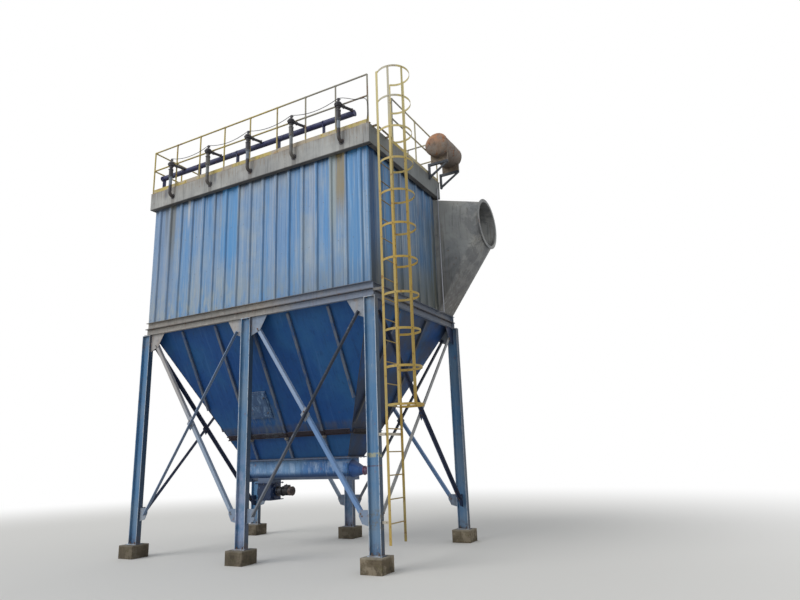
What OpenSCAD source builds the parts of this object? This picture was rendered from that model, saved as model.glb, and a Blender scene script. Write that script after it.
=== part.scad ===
// Pulse-jet bag filter (dust collector): ribbed sheet casing and V-bottom hopper on a braced steel frame.
// Millimetres, +Z up. The origin is the centre of the footprint box at ground level.
// X runs along the ladder-side front, Y from the front to the back, Z up.

/* [Frame] */
// Distance between neighbouring columns along the front
bay_w = 3100; // [2700:50:3500]
// Distance between the front and rear column rows
frame_d = 3900; // [3600:50:4300]
// Height of the support beams' underside above ground
leg_h = 4925; // [4600:25:5400]
// Depth of the I-section column, along the front
col_h = 250; // [200:10:300]
// Flange width of the I-section column
col_b = 118; // [100:2:150]
// Flange thickness of the column
col_tf = 13; // [8:1:18]
// Web thickness of the column
col_tw = 8; // [6:1:12]
// Side of the square concrete plinths
plinth_w = 430; // [360:10:520]
// Height of the concrete plinths
plinth_h = 270; // [150:10:400]
// Height of each of the two stacked channel rings
beam_h = 150; // [120:5:180]
// Flange width of the ring channels
beam_b = 80; // [60:5:100]
// Plate thickness of the ring channels
beam_t = 9; // [6:1:12]
// How far the ring channels reach outside the column grid
ring_out = 60; // [50:5:80]

/* [Bracing] */
// Leg width of the brace angles
brace_leg = 75; // [50:5:100]
// Leg thickness of the brace angles
brace_t = 8; // [5:1:12]
// Height on the column where the braces meet its foot
brace_foot = 900; // [700:50:1300]
// Drop of the braces' top ends below the support beams
brace_drop = 250; // [200:10:350]
// Length of the head gussets under the beams
gusset_w = 420; // [350:10:500]
// Height of the head gussets
gusset_h = 340; // [280:10:420]
// Thickness of the gusset plates
gusset_t = 10; // [6:1:16]

/* [Casing] */
// Depth of the ribbed bag chamber, front to back
casing_d = 3120; // [2800:20:3400]
// Height of the casing walls below the roof band
casing_h = 2880; // [2400:20:3400]
// Depth of the pressed ribs in the casing sheets
rib_d = 35; // [20:1:50]
// Width of a rib where it leaves the sheet
rib_w = 110; // [70:5:130]
// Width of a rib's flat crest
rib_crest = 60; // [30:5:65]
// Number of ribs along the front and back
ribs_long = 17; // [12:1:18]
// Number of ribs on each end wall
ribs_side = 8; // [5:1:9]
// Thickness of the casing sheets
sheet_t = 6; // [4:1:10]
// Height of the roof band
band_h = 436; // [360:4:520]
// How far the roof band overhangs the casing sheets
band_out = 140; // [90:5:180]
// How far the roof band overhangs the left-hand end
band_left = 55; // [55:5:180]

/* [Hopper] */
// Length of the hopper's mouth
mouth_l = 2900; // [2400:50:3300]
// Width of the hopper's mouth
mouth_w = 600; // [450:10:750]
// Height of the hopper's mouth above ground
mouth_z = 1950; // [1700:25:2300]
// Height of the belt joint around the hopper
belt_z = 2500; // [2420:20:2800]
// Thickness of the hopper plates
hopper_t = 8; // [6:1:12]
// Number of stiffening ribs on each long side of the hopper
hopper_ribs = 5; // [3:1:7]

/* [Roof fittings] */
// Height of the handrails above the roof
rail_h = 1160; // [950:10:1250]
// Diameter of the handrail tubes
rail_dia = 36; // [28:1:48]
// Number of filter chambers, each with a valve and a lid
chambers = 5; // [3:1:6]
// Diameter of the compressed-air header pipe
header_dia = 125; // [100:5:150]
// Diameter of the drop pipes over the roof band
drop_dia = 76; // [50:2:80]

/* [Ladder] */
// Distance between the ladder's stiles
ladder_w = 550; // [450:10:600]
// Distance between rungs
rung_pitch = 405; // [360:5:415]
// Radius of the safety cage hoops
cage_r = 350; // [330:5:380]
// Number of safety cage hoops
hoops = 11; // [8:1:12]

/* [Inlet and outlet] */
// Diameter of the round gas inlet
inlet_dia = 1100; // [900:20:1200]
// How far the inlet transition reaches from the casing's end
inlet_l = 1150; // [900:25:1400]
// Diameter of the round clean-gas outlet
outlet_dia = 900; // [700:20:1000]

/* [Hidden] */

// Overall lengths and heights
frame_l = 2 * bay_w;
ring_z = leg_h + beam_h;
wall_z = leg_h + 2 * beam_h;
band_z = wall_z + casing_h;
roof_z = band_z + band_h;
seat = 0.3;

// Plan of the casing: outer faces of the sheets between ribs
skin = 10;
casing_x0 = -skin;
casing_x1 = frame_l + skin;
casing_y0 = -skin;
casing_y1 = casing_y0 + casing_d;
plenum_y1 = frame_d + skin;
band_x0 = casing_x0 - band_left;
band_x1 = casing_x1 + band_out;
band_y0 = casing_y0 - band_out;
band_y1 = casing_y1 + band_out;

// Ladder place: stiles stand off the right-hand wall beside the front corner
stile_x = band_x1 + 105;
stile_w = 50;
stile_t = 8;
ladder_y = -4;
ladder_z0 = 450;
rung_z0 = ladder_z0 + 350;
rung_dia = 22;
stile_top = roof_z + 1220;
cage_cx = stile_x + stile_w + sqrt(pow(cage_r, 2) - pow(ladder_w / 2, 2));
cage_cy = ladder_y + ladder_w / 2;
cage_z0 = 2810;
cage_bar = 45;
cage_t = 6;
strap_turns = [-80, -30, 80];

// Inlet and outlet
inlet_z = band_z - 60 - inlet_dia / 2 - 120;
inlet_y = frame_d - 180;
flange_t = 16;
flange_w = 70;
outlet_x = 900;
outlet_z = band_z - 200 - outlet_dia / 2;
outlet_l = 350;

// Roof fittings: the drop pipes stand off the roof band, with the valves above them
drop_off = 100;
valve_r = 75;
valve_rim = 12;
deck_t = 8;
lip = 60;

// Air receiver drum beside the right-hand roof band
drum_r = 290;
drum_gap = 15;
drum_l = 1050;
drum_y0 = 2420;
drum_x = band_x1 + drum_gap + drum_r;
drum_z = roof_z + 650;
dish = 90;
cradle_t = 60;
cradle_low = 100;
arm_w = 60;
arm_top = drum_z - drum_r - cradle_low;

// Footprint box, used to put the origin at its centre
box_x0 = min(band_x0, -plinth_w / 2);
box_x1 = max(casing_x1 + inlet_l + flange_t, cage_cx + cage_r, drum_x + drum_r);
box_y0 = min(band_y0 - drop_off - valve_r - valve_rim, -plinth_w / 2);
box_y1 = max(plenum_y1 + outlet_l, inlet_y + inlet_dia / 2 + sheet_t + flange_w, frame_d + plinth_w / 2);

module place() {
    translate([-(box_x0 + box_x1) / 2, -(box_y0 + box_y1) / 2, 0]) children();
}

// A block from its low corner to its high corner
module block(lo, hi) {
    translate(lo) cube(hi - lo);
}

// Channel section along +X from x0 to x1: web on the inner side (+Y), flanges pointing to -Y
module channel_x(x0, x1, y_tip, z0, h, b, t) {
    translate([x0, 0, 0]) rotate([90, 0, 90]) linear_extrude(x1 - x0)
        polygon([[y_tip, z0], [y_tip + b, z0], [y_tip + b, z0 + h], [y_tip, z0 + h],
                 [y_tip, z0 + h - t], [y_tip + b - t, z0 + h - t], [y_tip + b - t, z0 + t], [y_tip, z0 + t]]);
}

// The same channel along +Y from y0 to y1, flanges pointing to -X
module channel_y(y0, y1, x_tip, z0, h, b, t) {
    mirror([1, -1, 0]) channel_x(y0, y1, x_tip, z0, h, b, t);
}

module plinths() {
    color("dimgray") place()
        for (x = [0, bay_w, frame_l], y = [0, frame_d])
            block([x - plinth_w / 2, y - plinth_w / 2, 0], [x + plinth_w / 2, y + plinth_w / 2, plinth_h]);
}

base_t = 16;
cap_t = 12;
base_over = 30;

// One I-section column with its base plate and cap plate
module column(x, y) {
    z1 = plinth_h + base_t;
    z2 = leg_h - cap_t;
    hx = col_h / 2;
    hy = col_b / 2;
    translate([x, y, 0]) {
        block([-hx - base_over, -hy - base_over, plinth_h], [hx + base_over, hy + base_over, z1]);
        translate([0, 0, z1]) linear_extrude(z2 - z1)
            polygon([[-hx, -hy], [-hx + col_tf, -hy], [-hx + col_tf, -col_tw / 2], [hx - col_tf, -col_tw / 2],
                     [hx - col_tf, -hy], [hx, -hy], [hx, hy], [hx - col_tf, hy],
                     [hx - col_tf, col_tw / 2], [-hx + col_tf, col_tw / 2], [-hx + col_tf, hy], [-hx, hy]]);
        block([-hx, -hy, z2], [hx, hy, leg_h]);
    }
}

module columns() {
    color("steelblue") place() for (x = [0, bay_w, frame_l], y = [0, frame_d]) column(x, y);
}

module long_channels(z0, out) {
    for (m = [0, 1]) translate([0, m * frame_d, 0]) mirror([0, m, 0])
        channel_x(-out, frame_l + out, -out, z0, beam_h, beam_b, beam_t);
}
module end_channels(z0, out) {
    inner = beam_b - out;
    for (m = [0, 1]) translate([m * frame_l, 0, 0]) mirror([m, 0, 0])
        channel_y(inner, frame_d - inner, -out, z0, beam_h, beam_b, beam_t);
}
module long_support_beams() {
    color("darkgray") place() long_channels(leg_h, ring_out);
}
module end_support_beams() {
    color("darkgray") place() end_channels(leg_h, ring_out);
}
module long_base_rails() {
    color("slategray") place() long_channels(ring_z, ring_out - 10);
}
module end_base_rails() {
    color("slategray") place() end_channels(ring_z, ring_out - 10);
}

// Brace end points: from the column's face at the foot to its face at the head
brace_in = 150;
brace_head = leg_h - brace_drop;

// Angle section from p to q in the XZ plane, flat leg on the plane y = side * y0, other leg outward
module brace_xz(p, q, side, y0) {
    d = q - p;
    len = norm(d);
    ang = atan2(d[1], d[0]);
    translate([p[0], 0, p[1]]) rotate([0, -ang, 0]) mirror([0, side > 0 ? 0 : 1, 0])
        rotate([90, 0, 90]) linear_extrude(len)
            polygon([[y0, -brace_leg / 2], [y0 + brace_leg, -brace_leg / 2],
                     [y0 + brace_leg, brace_t - brace_leg / 2], [y0 + brace_t, brace_t - brace_leg / 2],
                     [y0 + brace_t, brace_leg / 2], [y0, brace_leg / 2]]);
}

// Both braces of one bay whose columns stand at x = a and x = b
module bay_brace(a, b, inset, rising, side) {
    lo = rising ? a + inset : b - inset;
    hi = rising ? b - inset : a + inset;
    brace_xz([lo, brace_foot], [hi, brace_head], side, gusset_t / 2);
}

bay_inset = col_h / 2 + brace_in;
end_inset = col_tw / 2 + brace_in + 60;

// Of each crossing pair, the rising brace lies on one side of the gusset plates, the falling one on the other
module long_braces() {
    color("lightsteelblue") place() for (y = [0, frame_d], k = [0, 1], rising = [true, false])
        translate([0, y, 0]) bay_brace(k * bay_w, (k + 1) * bay_w, bay_inset, rising, rising ? -1 : 1);
}
module end_braces() {
    color("midnightblue") place() for (x = [0, frame_l], rising = [true, false])
        translate([x, 0, 0]) mirror([1, -1, 0]) bay_brace(0, frame_d, end_inset, rising, rising ? -1 : 1);
}

// Gusset plates in the XZ plane: two heads, two feet and the crossing plate of one bay. The head
// plates start at the column's face and step under its cap plate, which reaches out to cap
foot_reach = 0.55 * gusset_w;
cross_w = 110;
cross_h = 150;
module bay_gussets(a, b, face, cap) {
    foot_z = brace_foot;
    under = leg_h - cap_t;
    corner = face < cap ? [[a + face, under], [a + cap, under], [a + cap, leg_h]] : [[a + face, leg_h]];
    module plate(points) {
        translate([0, gusset_t / 2, 0]) rotate([90, 0, 0]) linear_extrude(gusset_t) polygon(points);
    }
    for (m = [0, 1]) translate([m * (a + b), 0, 0]) mirror([m, 0, 0]) {
        plate(concat(corner, [[a + face + gusset_w, leg_h], [a + face + gusset_w * 0.55, brace_head - 60],
                              [a + face, leg_h - gusset_h - 60]]));
        plate([[a + face, foot_z - 150], [a + face + foot_reach * 0.7, foot_z - 110],
               [a + face + foot_reach, foot_z + 20], [a + face + foot_reach, foot_z + 130],
               [a + face, foot_z + 130]]);
    }
    cx = (a + b) / 2;
    cz = (brace_foot + brace_head) / 2;
    plate([[cx - cross_w, cz], [cx, cz - cross_h], [cx + cross_w, cz], [cx, cz + cross_h]]);
}
module long_gussets() {
    color("silver") place() for (y = [0, frame_d], k = [0, 1]) translate([0, y, 0])
        bay_gussets(k * bay_w, (k + 1) * bay_w, col_h / 2, col_h / 2);
}
module end_gussets() {
    color("midnightblue") place() for (x = [0, frame_l]) translate([x, 0, 0])
        mirror([1, -1, 0]) bay_gussets(0, frame_d, col_tw / 2, col_b / 2);
}

// Outline of a ribbed sheet from u = 0 to u = len: outer face at v = 0, ribs towards -v
function rib_points(len, n, off) = [
    for (i = [0:n - 1]) let (c = (i + 0.5) * len / n, h = off > 0 ? -sheet_t * 0.4 : 0)
        for (p = [[-rib_w / 2 - h, 0], [-rib_crest / 2 - h, -rib_d],
                  [rib_crest / 2 + h, -rib_d], [rib_w / 2 + h, 0]])
            [c + p[0], p[1] + off]
];
function reverse(list) = [for (i = [len(list) - 1:-1:0]) list[i]];
module ribbed_sheet(len, h, n) {
    outer = concat([[0, 0]], rib_points(len, n, 0), [[len, 0]]);
    inner = concat([[0, sheet_t]], rib_points(len, n, sheet_t), [[len, sheet_t]]);
    linear_extrude(h) polygon(concat(outer, reverse(inner)));
}

wall_h = casing_h + band_h - sheet_t - deck_t;

module front_wall() {
    color("cornflowerblue") place()
        translate([casing_x0, casing_y0, wall_z]) ribbed_sheet(casing_x1 - casing_x0, wall_h, ribs_long);
}
module side_sheet(x, m) {
    translate([x, casing_y0 + sheet_t, wall_z]) mirror([m, 0, 0])
        mirror([1, -1, 0]) ribbed_sheet(casing_d - 2 * sheet_t, wall_h, ribs_side);
}
module left_wall() {
    color("cornflowerblue") place() side_sheet(casing_x0, 0);
}
module right_wall() {
    color("cornflowerblue") place() side_sheet(casing_x1, 1);
}
module rear_wall() {
    color("cornflowerblue") place()
        block([casing_x0, casing_y1 - sheet_t, wall_z], [casing_x1, casing_y1, wall_z + wall_h]);
}

plenum_top = band_z - 40;

// Back of the clean-gas plenum, with a flat square pad between the ribs for the outlet
pad = outlet_dia + 2 * sheet_t + 2 * flange_w + 60;
module plenum_back() {
    color("gray") place() {
        difference() {
            translate([casing_x1, plenum_y1, wall_z]) rotate([0, 0, 180])
                ribbed_sheet(casing_x1 - casing_x0, plenum_top - wall_z, ribs_long);
            block([outlet_x - pad / 2, plenum_y1 - 2 * sheet_t, outlet_z - pad / 2],
                  [outlet_x + pad / 2, plenum_y1 + 2 * rib_d, outlet_z + pad / 2]);
        }
        difference() {
            block([outlet_x - pad / 2, plenum_y1 - sheet_t, outlet_z - pad / 2],
                  [outlet_x + pad / 2, plenum_y1, outlet_z + pad / 2]);
            translate([outlet_x, plenum_y1 + 1, outlet_z]) rotate([90, 0, 0])
                cylinder(d = outlet_dia, h = sheet_t + 2, $fn = 96);
        }
    }
}
module plenum_left_end() {
    color("gray") place()
        block([casing_x0, casing_y1, wall_z], [casing_x0 + sheet_t, plenum_y1 - sheet_t, plenum_top]);
}
module plenum_roof() {
    color("gray") place()
        block([casing_x0 + sheet_t, casing_y1, plenum_top - sheet_t],
              [casing_x1, plenum_y1 - sheet_t, plenum_top]);
}

// Rectangular-to-round shell from the plenum's open right end to the inlet flange
module transition_solid(grow, past) {
    end = casing_x1 + inlet_l;
    hull() {
        block([casing_x1 - past, casing_y1 + sheet_t - grow, wall_z + sheet_t - grow],
              [casing_x1 + 5, plenum_y1 - sheet_t + grow, plenum_top - sheet_t + grow]);
        translate([end - 5, inlet_y, inlet_z]) rotate([0, 90, 0])
            cylinder(r = inlet_dia / 2 + grow, h = 5 + past, $fn = 48);
    }
}
module inlet_transition() {
    color("gray") place() difference() {
        transition_solid(sheet_t, 0);
        transition_solid(0, 2);
    }
}

inlet_bolts = 20;
outlet_bolts = 16;
duct_bolt_dia = 18;
inlet_pcd = inlet_dia + 2 * sheet_t + flange_w;

// Flat ring flange around the X axis, with its bolt holes
module ring_flange(bore, pcd, od, n, hole) {
    rotate([0, 90, 0]) difference() {
        cylinder(d = od, h = flange_t, $fn = 96);
        translate([0, 0, -1]) cylinder(d = bore, h = flange_t + 2, $fn = 96);
        for (i = [0:n - 1]) rotate([0, 0, (i + 0.5) * 360 / n])
            translate([pcd / 2, 0, -1]) cylinder(d = hole, h = flange_t + 2, $fn = 24);
    }
}
module inlet_flange() {
    color("gray") place() translate([casing_x1 + inlet_l, inlet_y, inlet_z])
        ring_flange(inlet_dia, inlet_pcd, inlet_dia + 2 * (sheet_t + flange_w), inlet_bolts, duct_bolt_dia);
}

outlet_pcd = outlet_dia + 2 * sheet_t + flange_w;

module outlet_stub() {
    color("gray") place() translate([outlet_x, plenum_y1, outlet_z]) rotate([0, 0, 90]) {
        rotate([0, 90, 0]) difference() {
            cylinder(d = outlet_dia + 2 * sheet_t, h = outlet_l - flange_t, $fn = 96);
            translate([0, 0, -1]) cylinder(d = outlet_dia, h = outlet_l, $fn = 96);
        }
        translate([outlet_l - flange_t, 0, 0])
            ring_flange(outlet_dia, outlet_pcd, outlet_dia + 2 * (sheet_t + flange_w), outlet_bolts,
                        duct_bolt_dia);
    }
}

// Roof band: a folded sheet with a soffit below and a lip above, open to the inside
module band_profile(depth) {
    polygon([[0, 0], [depth, 0], [depth, sheet_t], [sheet_t, sheet_t], [sheet_t, band_h - sheet_t],
             [lip, band_h - sheet_t], [lip, band_h], [0, band_h]]);
}
module long_roof_bands() {
    color("tan") place() for (m = [0, 1]) translate([0, m * (band_y0 + band_y1), 0]) mirror([0, m, 0]) {
        translate([band_x0, band_y0, band_z]) rotate([90, 0, 90]) linear_extrude(band_x1 - band_x0)
            band_profile(band_out - rib_d);
        for (x = [band_x0, band_x1 - sheet_t])
            block([x, band_y0, band_z], [x + sheet_t, casing_y0, band_z + band_h]);
    }
}
module end_roof_bands() {
    color("tan") place() {
        translate([band_x0, casing_y1, band_z]) rotate([90, 0, 0]) linear_extrude(casing_d)
            band_profile(band_left - rib_d);
        translate([band_x1, casing_y1, band_z]) mirror([1, 0, 0]) rotate([90, 0, 0]) linear_extrude(casing_d)
            band_profile(band_out - rib_d);
    }
}
module roof_deck() {
    color("tan") place()
        block([band_x0 + sheet_t, band_y0 + sheet_t, roof_z - sheet_t - deck_t],
              [band_x1 - sheet_t, band_y1 - sheet_t, roof_z - sheet_t]);
}

lid_h = 110;
lid_w = 960;
lid_y0 = 620;
lid_y1 = casing_y1 - 420;
chamber_w = frame_l / chambers;

lid_lip = 30;
lid_top = 45;

// Each lid: a curb on the deck under a flat cover that overhangs it, with a lifting bar at both ends
module roof_lids() {
    module lid(low, high, grow) {
        block([-lid_w / 2 - grow, lid_y0 - grow, low], [lid_w / 2 + grow, lid_y1 + grow, high]);
    }
    color("tan") place() for (i = [0:chambers - 1]) translate([(i + 0.5) * chamber_w, 0, 0]) {
        lid(roof_z - sheet_t, roof_z + lid_h - lid_top + 1, -lid_lip);
        lid(roof_z + lid_h - lid_top, roof_z + lid_h, 0);
        for (y = [lid_y0 + 90, lid_y1 - 90], x = [-90, 90])
            translate([x, y, roof_z + lid_h - 1]) cylinder(d = 16, h = 61, $fn = 16);
        for (y = [lid_y0 + 90, lid_y1 - 90])
            translate([-98, y, roof_z + lid_h + 52]) rotate([0, 90, 0]) cylinder(d = 16, h = 196, $fn = 16);
    }
}

// Handrail along +X from 0 to len: posts, two rails and a toe board, standing on z = 0. Where first
// or last is 1 that end has no post, and its rails butt against a neighbour's corner post
toe_h = 110;
toe_t = 6;
mid_share = 0.56;
module rail_run(len, n, first, last) {
    r = rail_dia / 2;
    x0 = r * (1 - first);
    x1 = len - r * (1 - last);
    for (i = [first:n - last])
        translate([r + i * (len - rail_dia) / n, r, 0]) cylinder(r = r, h = rail_h - r, $fn = 16);
    for (z = [mid_share * (rail_h - r), rail_h - r])
        translate([x0, r, z]) rotate([0, 90, 0]) cylinder(r = r, h = x1 - x0, $fn = 16);
    block([x0, r - toe_t / 2, 0], [x1, r + toe_t / 2, toe_h]);
}
rail_in = 12;
front_posts = 8;
left_posts = 4;
right_posts = 2;
gate_y = 900;
rail_y0 = band_y0 + rail_in + rail_dia + seat;
rail_y1 = band_y1 - rail_in - rail_dia - seat;

module front_handrail() {
    color("goldenrod") place() translate([band_x0 + rail_in, band_y0 + rail_in, roof_z])
        rail_run(band_x1 - band_x0 - 2 * rail_in, front_posts, 0, 0);
}
module rear_handrail() {
    color("goldenrod") place() translate([band_x0 + rail_in, band_y1 - rail_in - rail_dia, roof_z])
        rail_run(band_x1 - band_x0 - 2 * rail_in, front_posts, 0, 0);
}
module left_handrail() {
    color("goldenrod") place() translate([band_x0 + rail_in + rail_dia, rail_y0, roof_z]) rotate([0, 0, 90])
        rail_run(rail_y1 - rail_y0, left_posts, 1, 1);
}
module right_handrail() {
    color("goldenrod") place() translate([band_x1 - rail_in, gate_y, roof_z]) rotate([0, 0, 90])
        rail_run(rail_y1 - gate_y, right_posts, 0, 1);
}

header_y = 60;
header_z = roof_z + 470;
header_x0 = 60;
header_x1 = frame_l - 310;
foot_w = 90;
stand_t = 10;
stand_w = 100;
stand_dx = 130;

module air_header() {
    color("midnightblue") place() {
        translate([header_x0, header_y, header_z]) rotate([0, 90, 0]) {
            cylinder(d = header_dia, h = header_x1 - header_x0, $fn = 32);
            for (z = [0, header_x1 - header_x0 - 20]) translate([0, 0, z])
                cylinder(d = header_dia + 16, h = 20, $fn = 32);
        }
    }
}

// Flat-bar stands between the chambers, each with a saddle cut to the header
module header_stands() {
    color("midnightblue") place() for (i = [0:chambers - 1])
        translate([i * chamber_w + stand_dx, header_y, roof_z]) {
            block([-foot_w / 2, -foot_w / 2, -sheet_t], [foot_w / 2, foot_w / 2, 4]);
            difference() {
                block([-stand_t / 2, -stand_w / 2, 0], [stand_t / 2, stand_w / 2, header_z - roof_z]);
                translate([-stand_t, 0, header_z - roof_z]) rotate([0, 90, 0])
                    cylinder(d = header_dia + 2 * seat, h = 2 * stand_t, $fn = 64);
            }
        }
}

valve_y = band_y0 - drop_off;
valve_z = header_z + 100;
valve_low = 90;
arm_dia = 60;
arm_dx = 260;
coil_dia = 44;
coil_l = 70;
function valve_x(i) = (i + 0.5) * chamber_w + 100;

// Round bar from p to q
module bar(p, q, d) {
    v = q - p;
    translate(p) rotate([0, acos(v[2] / norm(v)), atan2(v[1], v[0])]) cylinder(d = d, h = norm(v), $fn = 24);
}

// Pulse valve: round body with a domed cap, and an arm that slopes down to the header's back
module pulse_valves() {
    to_header = [arm_dx, header_y - valve_y, header_z - valve_z];
    len = norm(to_header);
    tilt = arm_dx / len;
    stop = (header_dia / 2 + seat + arm_dia / 2 * tilt) / sqrt(1 - pow(tilt, 2));
    color("black") place() for (i = [0:chambers - 1]) translate([valve_x(i), valve_y, valve_z]) {
        rotate_extrude($fn = 32)
            polygon([[0, -valve_low], [45, -valve_low], [45, -50], [valve_r, -40], [valve_r, -8],
                     [valve_r + valve_rim, -8], [valve_r + valve_rim, 8], [valve_r, 8], [valve_r, 25],
                     [60, 50], [25, valve_r], [0, valve_r]]);
        bar([0, 0, 0], to_header * (1 - stop / len), arm_dia);
        translate([0, 0, valve_r - 10]) cylinder(d = coil_dia, h = coil_l + 10, $fn = 24);
        translate([-coil_dia / 2, -12, valve_r + 18]) cube([coil_dia / 2 + 44, 24, 34]);
    }
}

// Drop pipe: a clamped hose under the valve, straight down, then a quarter bend into the roof band
hose_dia = 100;
hose_l = 230;
clamp_w = 14;
module drop_pipes() {
    bend = drop_off - 20;
    low = band_z + 190;
    top = valve_z - valve_low - seat - low - bend;
    color("black") place() for (i = [0:chambers - 1]) translate([valve_x(i), valve_y, low + bend]) {
        cylinder(d = drop_dia, h = top, $fn = 24);
        translate([0, 0, top - 40 - hose_l]) cylinder(d = hose_dia, h = hose_l, $fn = 32);
        for (z = [top - 65, top - hose_l - 30]) translate([0, 0, z])
            cylinder(d = hose_dia + 10, h = clamp_w, $fn = 32);
        translate([0, bend, 0]) rotate([0, 90, 0]) rotate([0, 0, -90]) rotate_extrude(angle = 90, $fn = 48)
            translate([bend, 0]) circle(d = drop_dia, $fn = 24);
        translate([0, bend, -bend]) rotate([-90, 0, 0]) cylinder(d = drop_dia, h = 20, $fn = 24);
    }
}

module ladder() {
    color("gold") place() {
        for (y = [ladder_y, ladder_y + ladder_w])
            block([stile_x, y - stile_t / 2, ladder_z0], [stile_x + stile_w, y + stile_t / 2, stile_top]);
        for (z = [rung_z0:rung_pitch:roof_z])
            translate([stile_x + stile_w / 2, ladder_y, z]) rotate([-90, 0, 0])
                cylinder(d = rung_dia, h = ladder_w, $fn = 16);
    }
}

// Safety cage: open hoops that end on the stiles' outer edges
module cage_hoops() {
    hoop_pitch = (stile_top - cage_bar - cage_z0) / (hoops - 1);
    color("gold") place() for (i = [0:hoops - 1])
        translate([cage_cx, cage_cy, cage_z0 + i * hoop_pitch]) difference() {
            cylinder(r = cage_r, h = cage_bar, $fn = 64);
            translate([0, 0, -1]) cylinder(r = cage_r - cage_t, h = cage_bar + 2, $fn = 64);
            block([-2 * cage_r, -2 * cage_r, -1], [stile_x + stile_w - cage_cx, 2 * cage_r, cage_bar + 1]);
        }
}

// Three upright flat bars that lie against the hoops' inner faces, two of them in line from the yard
module cage_straps() {
    back = sqrt(pow(cage_r - cage_t, 2) - pow(cage_bar / 2, 2)) - seat / 3;
    color("gold") place() for (a = strap_turns)
        translate([cage_cx, cage_cy, cage_z0]) rotate([0, 0, a])
            block([back - cage_t, -cage_bar / 2, 0], [back, cage_bar / 2, stile_top - cage_z0]);
}

// Flat bars that hold the ladder off the front corner column, the beam ring and the roof band
tie_w = 50;
tie_spread = 45;
tie_low = 800;
tie_mid = 2300;
module ladder_brackets() {
    y0 = ladder_y - stile_t / 2;
    y1 = ladder_y + ladder_w + stile_t / 2;
    color("gold") place() {
        block([frame_l + col_h / 2, y0, tie_low], [stile_x, y0 + stile_t, tie_low + tie_w]);
        for (y = [-tie_spread, tie_spread - stile_t])
            block([frame_l + col_h / 2, y, tie_mid], [stile_x, y + stile_t, tie_mid + tie_w]);
        block([stile_x - stile_t, min(y0, -tie_spread), tie_mid], [stile_x, y1, tie_mid + tie_w]);
        for (y = [y0, y1 - stile_t]) {
            block([frame_l + ring_out, y, ring_z - tie_w], [stile_x, y + stile_t, ring_z]);
            block([band_x1, y, roof_z - tie_w], [stile_x, y + stile_t, roof_z]);
        }
        block([stile_x - stile_t, y0, roof_z - tie_w], [stile_x, y1, roof_z]);
    }
}

// Hopper: four plates slope from the beams' inner faces down to the mouth
mouth_x0 = (frame_l - mouth_l) / 2;
mouth_y0 = (frame_d - mouth_w) / 2;
hop_in = beam_b - ring_out + hopper_t + seat;
hop_rise = ring_z - seat - mouth_z;
rim_t = 12;
rim_w = 60;
stiff_w = 60;
stiff_d = 50;
belt_w = 100;
belt_d = 65;
belt_web = 25;
belt_lip = 12;
end_ribs = 2;

// One sloping plate with its ribs, belt bar and mouth rim. x runs along the rim from its centre, the rim
// reaches rim_more past the mouth's corners,
// y = 0 is the mouth's inner edge, and the plate rises towards -y by run over hop_rise
module hopper_panel(top_half, low_half, run, ribs, rim_more) {
    slant = norm([run, hop_rise]);
    belt_v = (belt_z - mouth_z) / hop_rise * slant;
    beam_v = (leg_h - mouth_z) / hop_rise * slant - 8;
    belt_half = low_half + (top_half - low_half) * (belt_v - belt_w / 2) / slant;
    rotate([atan2(hop_rise, -run), 0, 0]) {
        linear_extrude(hopper_t) intersection() {
            polygon([[-low_half, 0], [low_half, 0], [top_half, slant], [-top_half, slant]]);
            translate([-top_half, hopper_t / 2]) square([2 * top_half, slant]);
        }
        for (i = [1:ribs]) {
            u = (i - (ribs + 1) / 2) * 2 * top_half / (ribs + 1);
            reach = (abs(u) + stiff_w / 2 - low_half) / (top_half - low_half) * slant;
            block([u - stiff_w / 2, max(reach, rim_w), hopper_t - 1],
                  [u + stiff_w / 2, beam_v, hopper_t + stiff_d]);
        }
        block([-belt_half, belt_v - belt_w / 2, hopper_t - 1],
              [belt_half, belt_v + belt_w / 2, hopper_t + belt_web]);
        for (v = [belt_v - belt_w / 2, belt_v + belt_w / 2 - belt_lip])
            block([-belt_half, v, hopper_t - 1], [belt_half, v + belt_lip, hopper_t + belt_d]);
    }
    block([-low_half - rim_more, -rim_w, 0], [low_half + rim_more, 0, rim_t]);
}
module long_panel() {
    translate([frame_l / 2, mouth_y0, mouth_z])
        hopper_panel(frame_l / 2 - hop_in, mouth_l / 2, mouth_y0 - hop_in, hopper_ribs, rim_w);
}
module end_panel() {
    translate([mouth_x0, frame_d / 2, mouth_z]) rotate([0, 0, -90])
        hopper_panel(frame_d / 2 - hop_in, mouth_w / 2, mouth_x0 - hop_in, end_ribs, 0);
}
module hopper_front() {
    color("mediumblue") place() long_panel();
}
module hopper_rear() {
    color("mediumblue") place() translate([0, frame_d, 0]) mirror([0, 1, 0]) long_panel();
}
module hopper_left() {
    color("mediumblue") place() end_panel();
}
module hopper_right() {
    color("mediumblue") place() translate([frame_l, 0, 0]) mirror([1, 0, 0]) end_panel();
}

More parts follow.
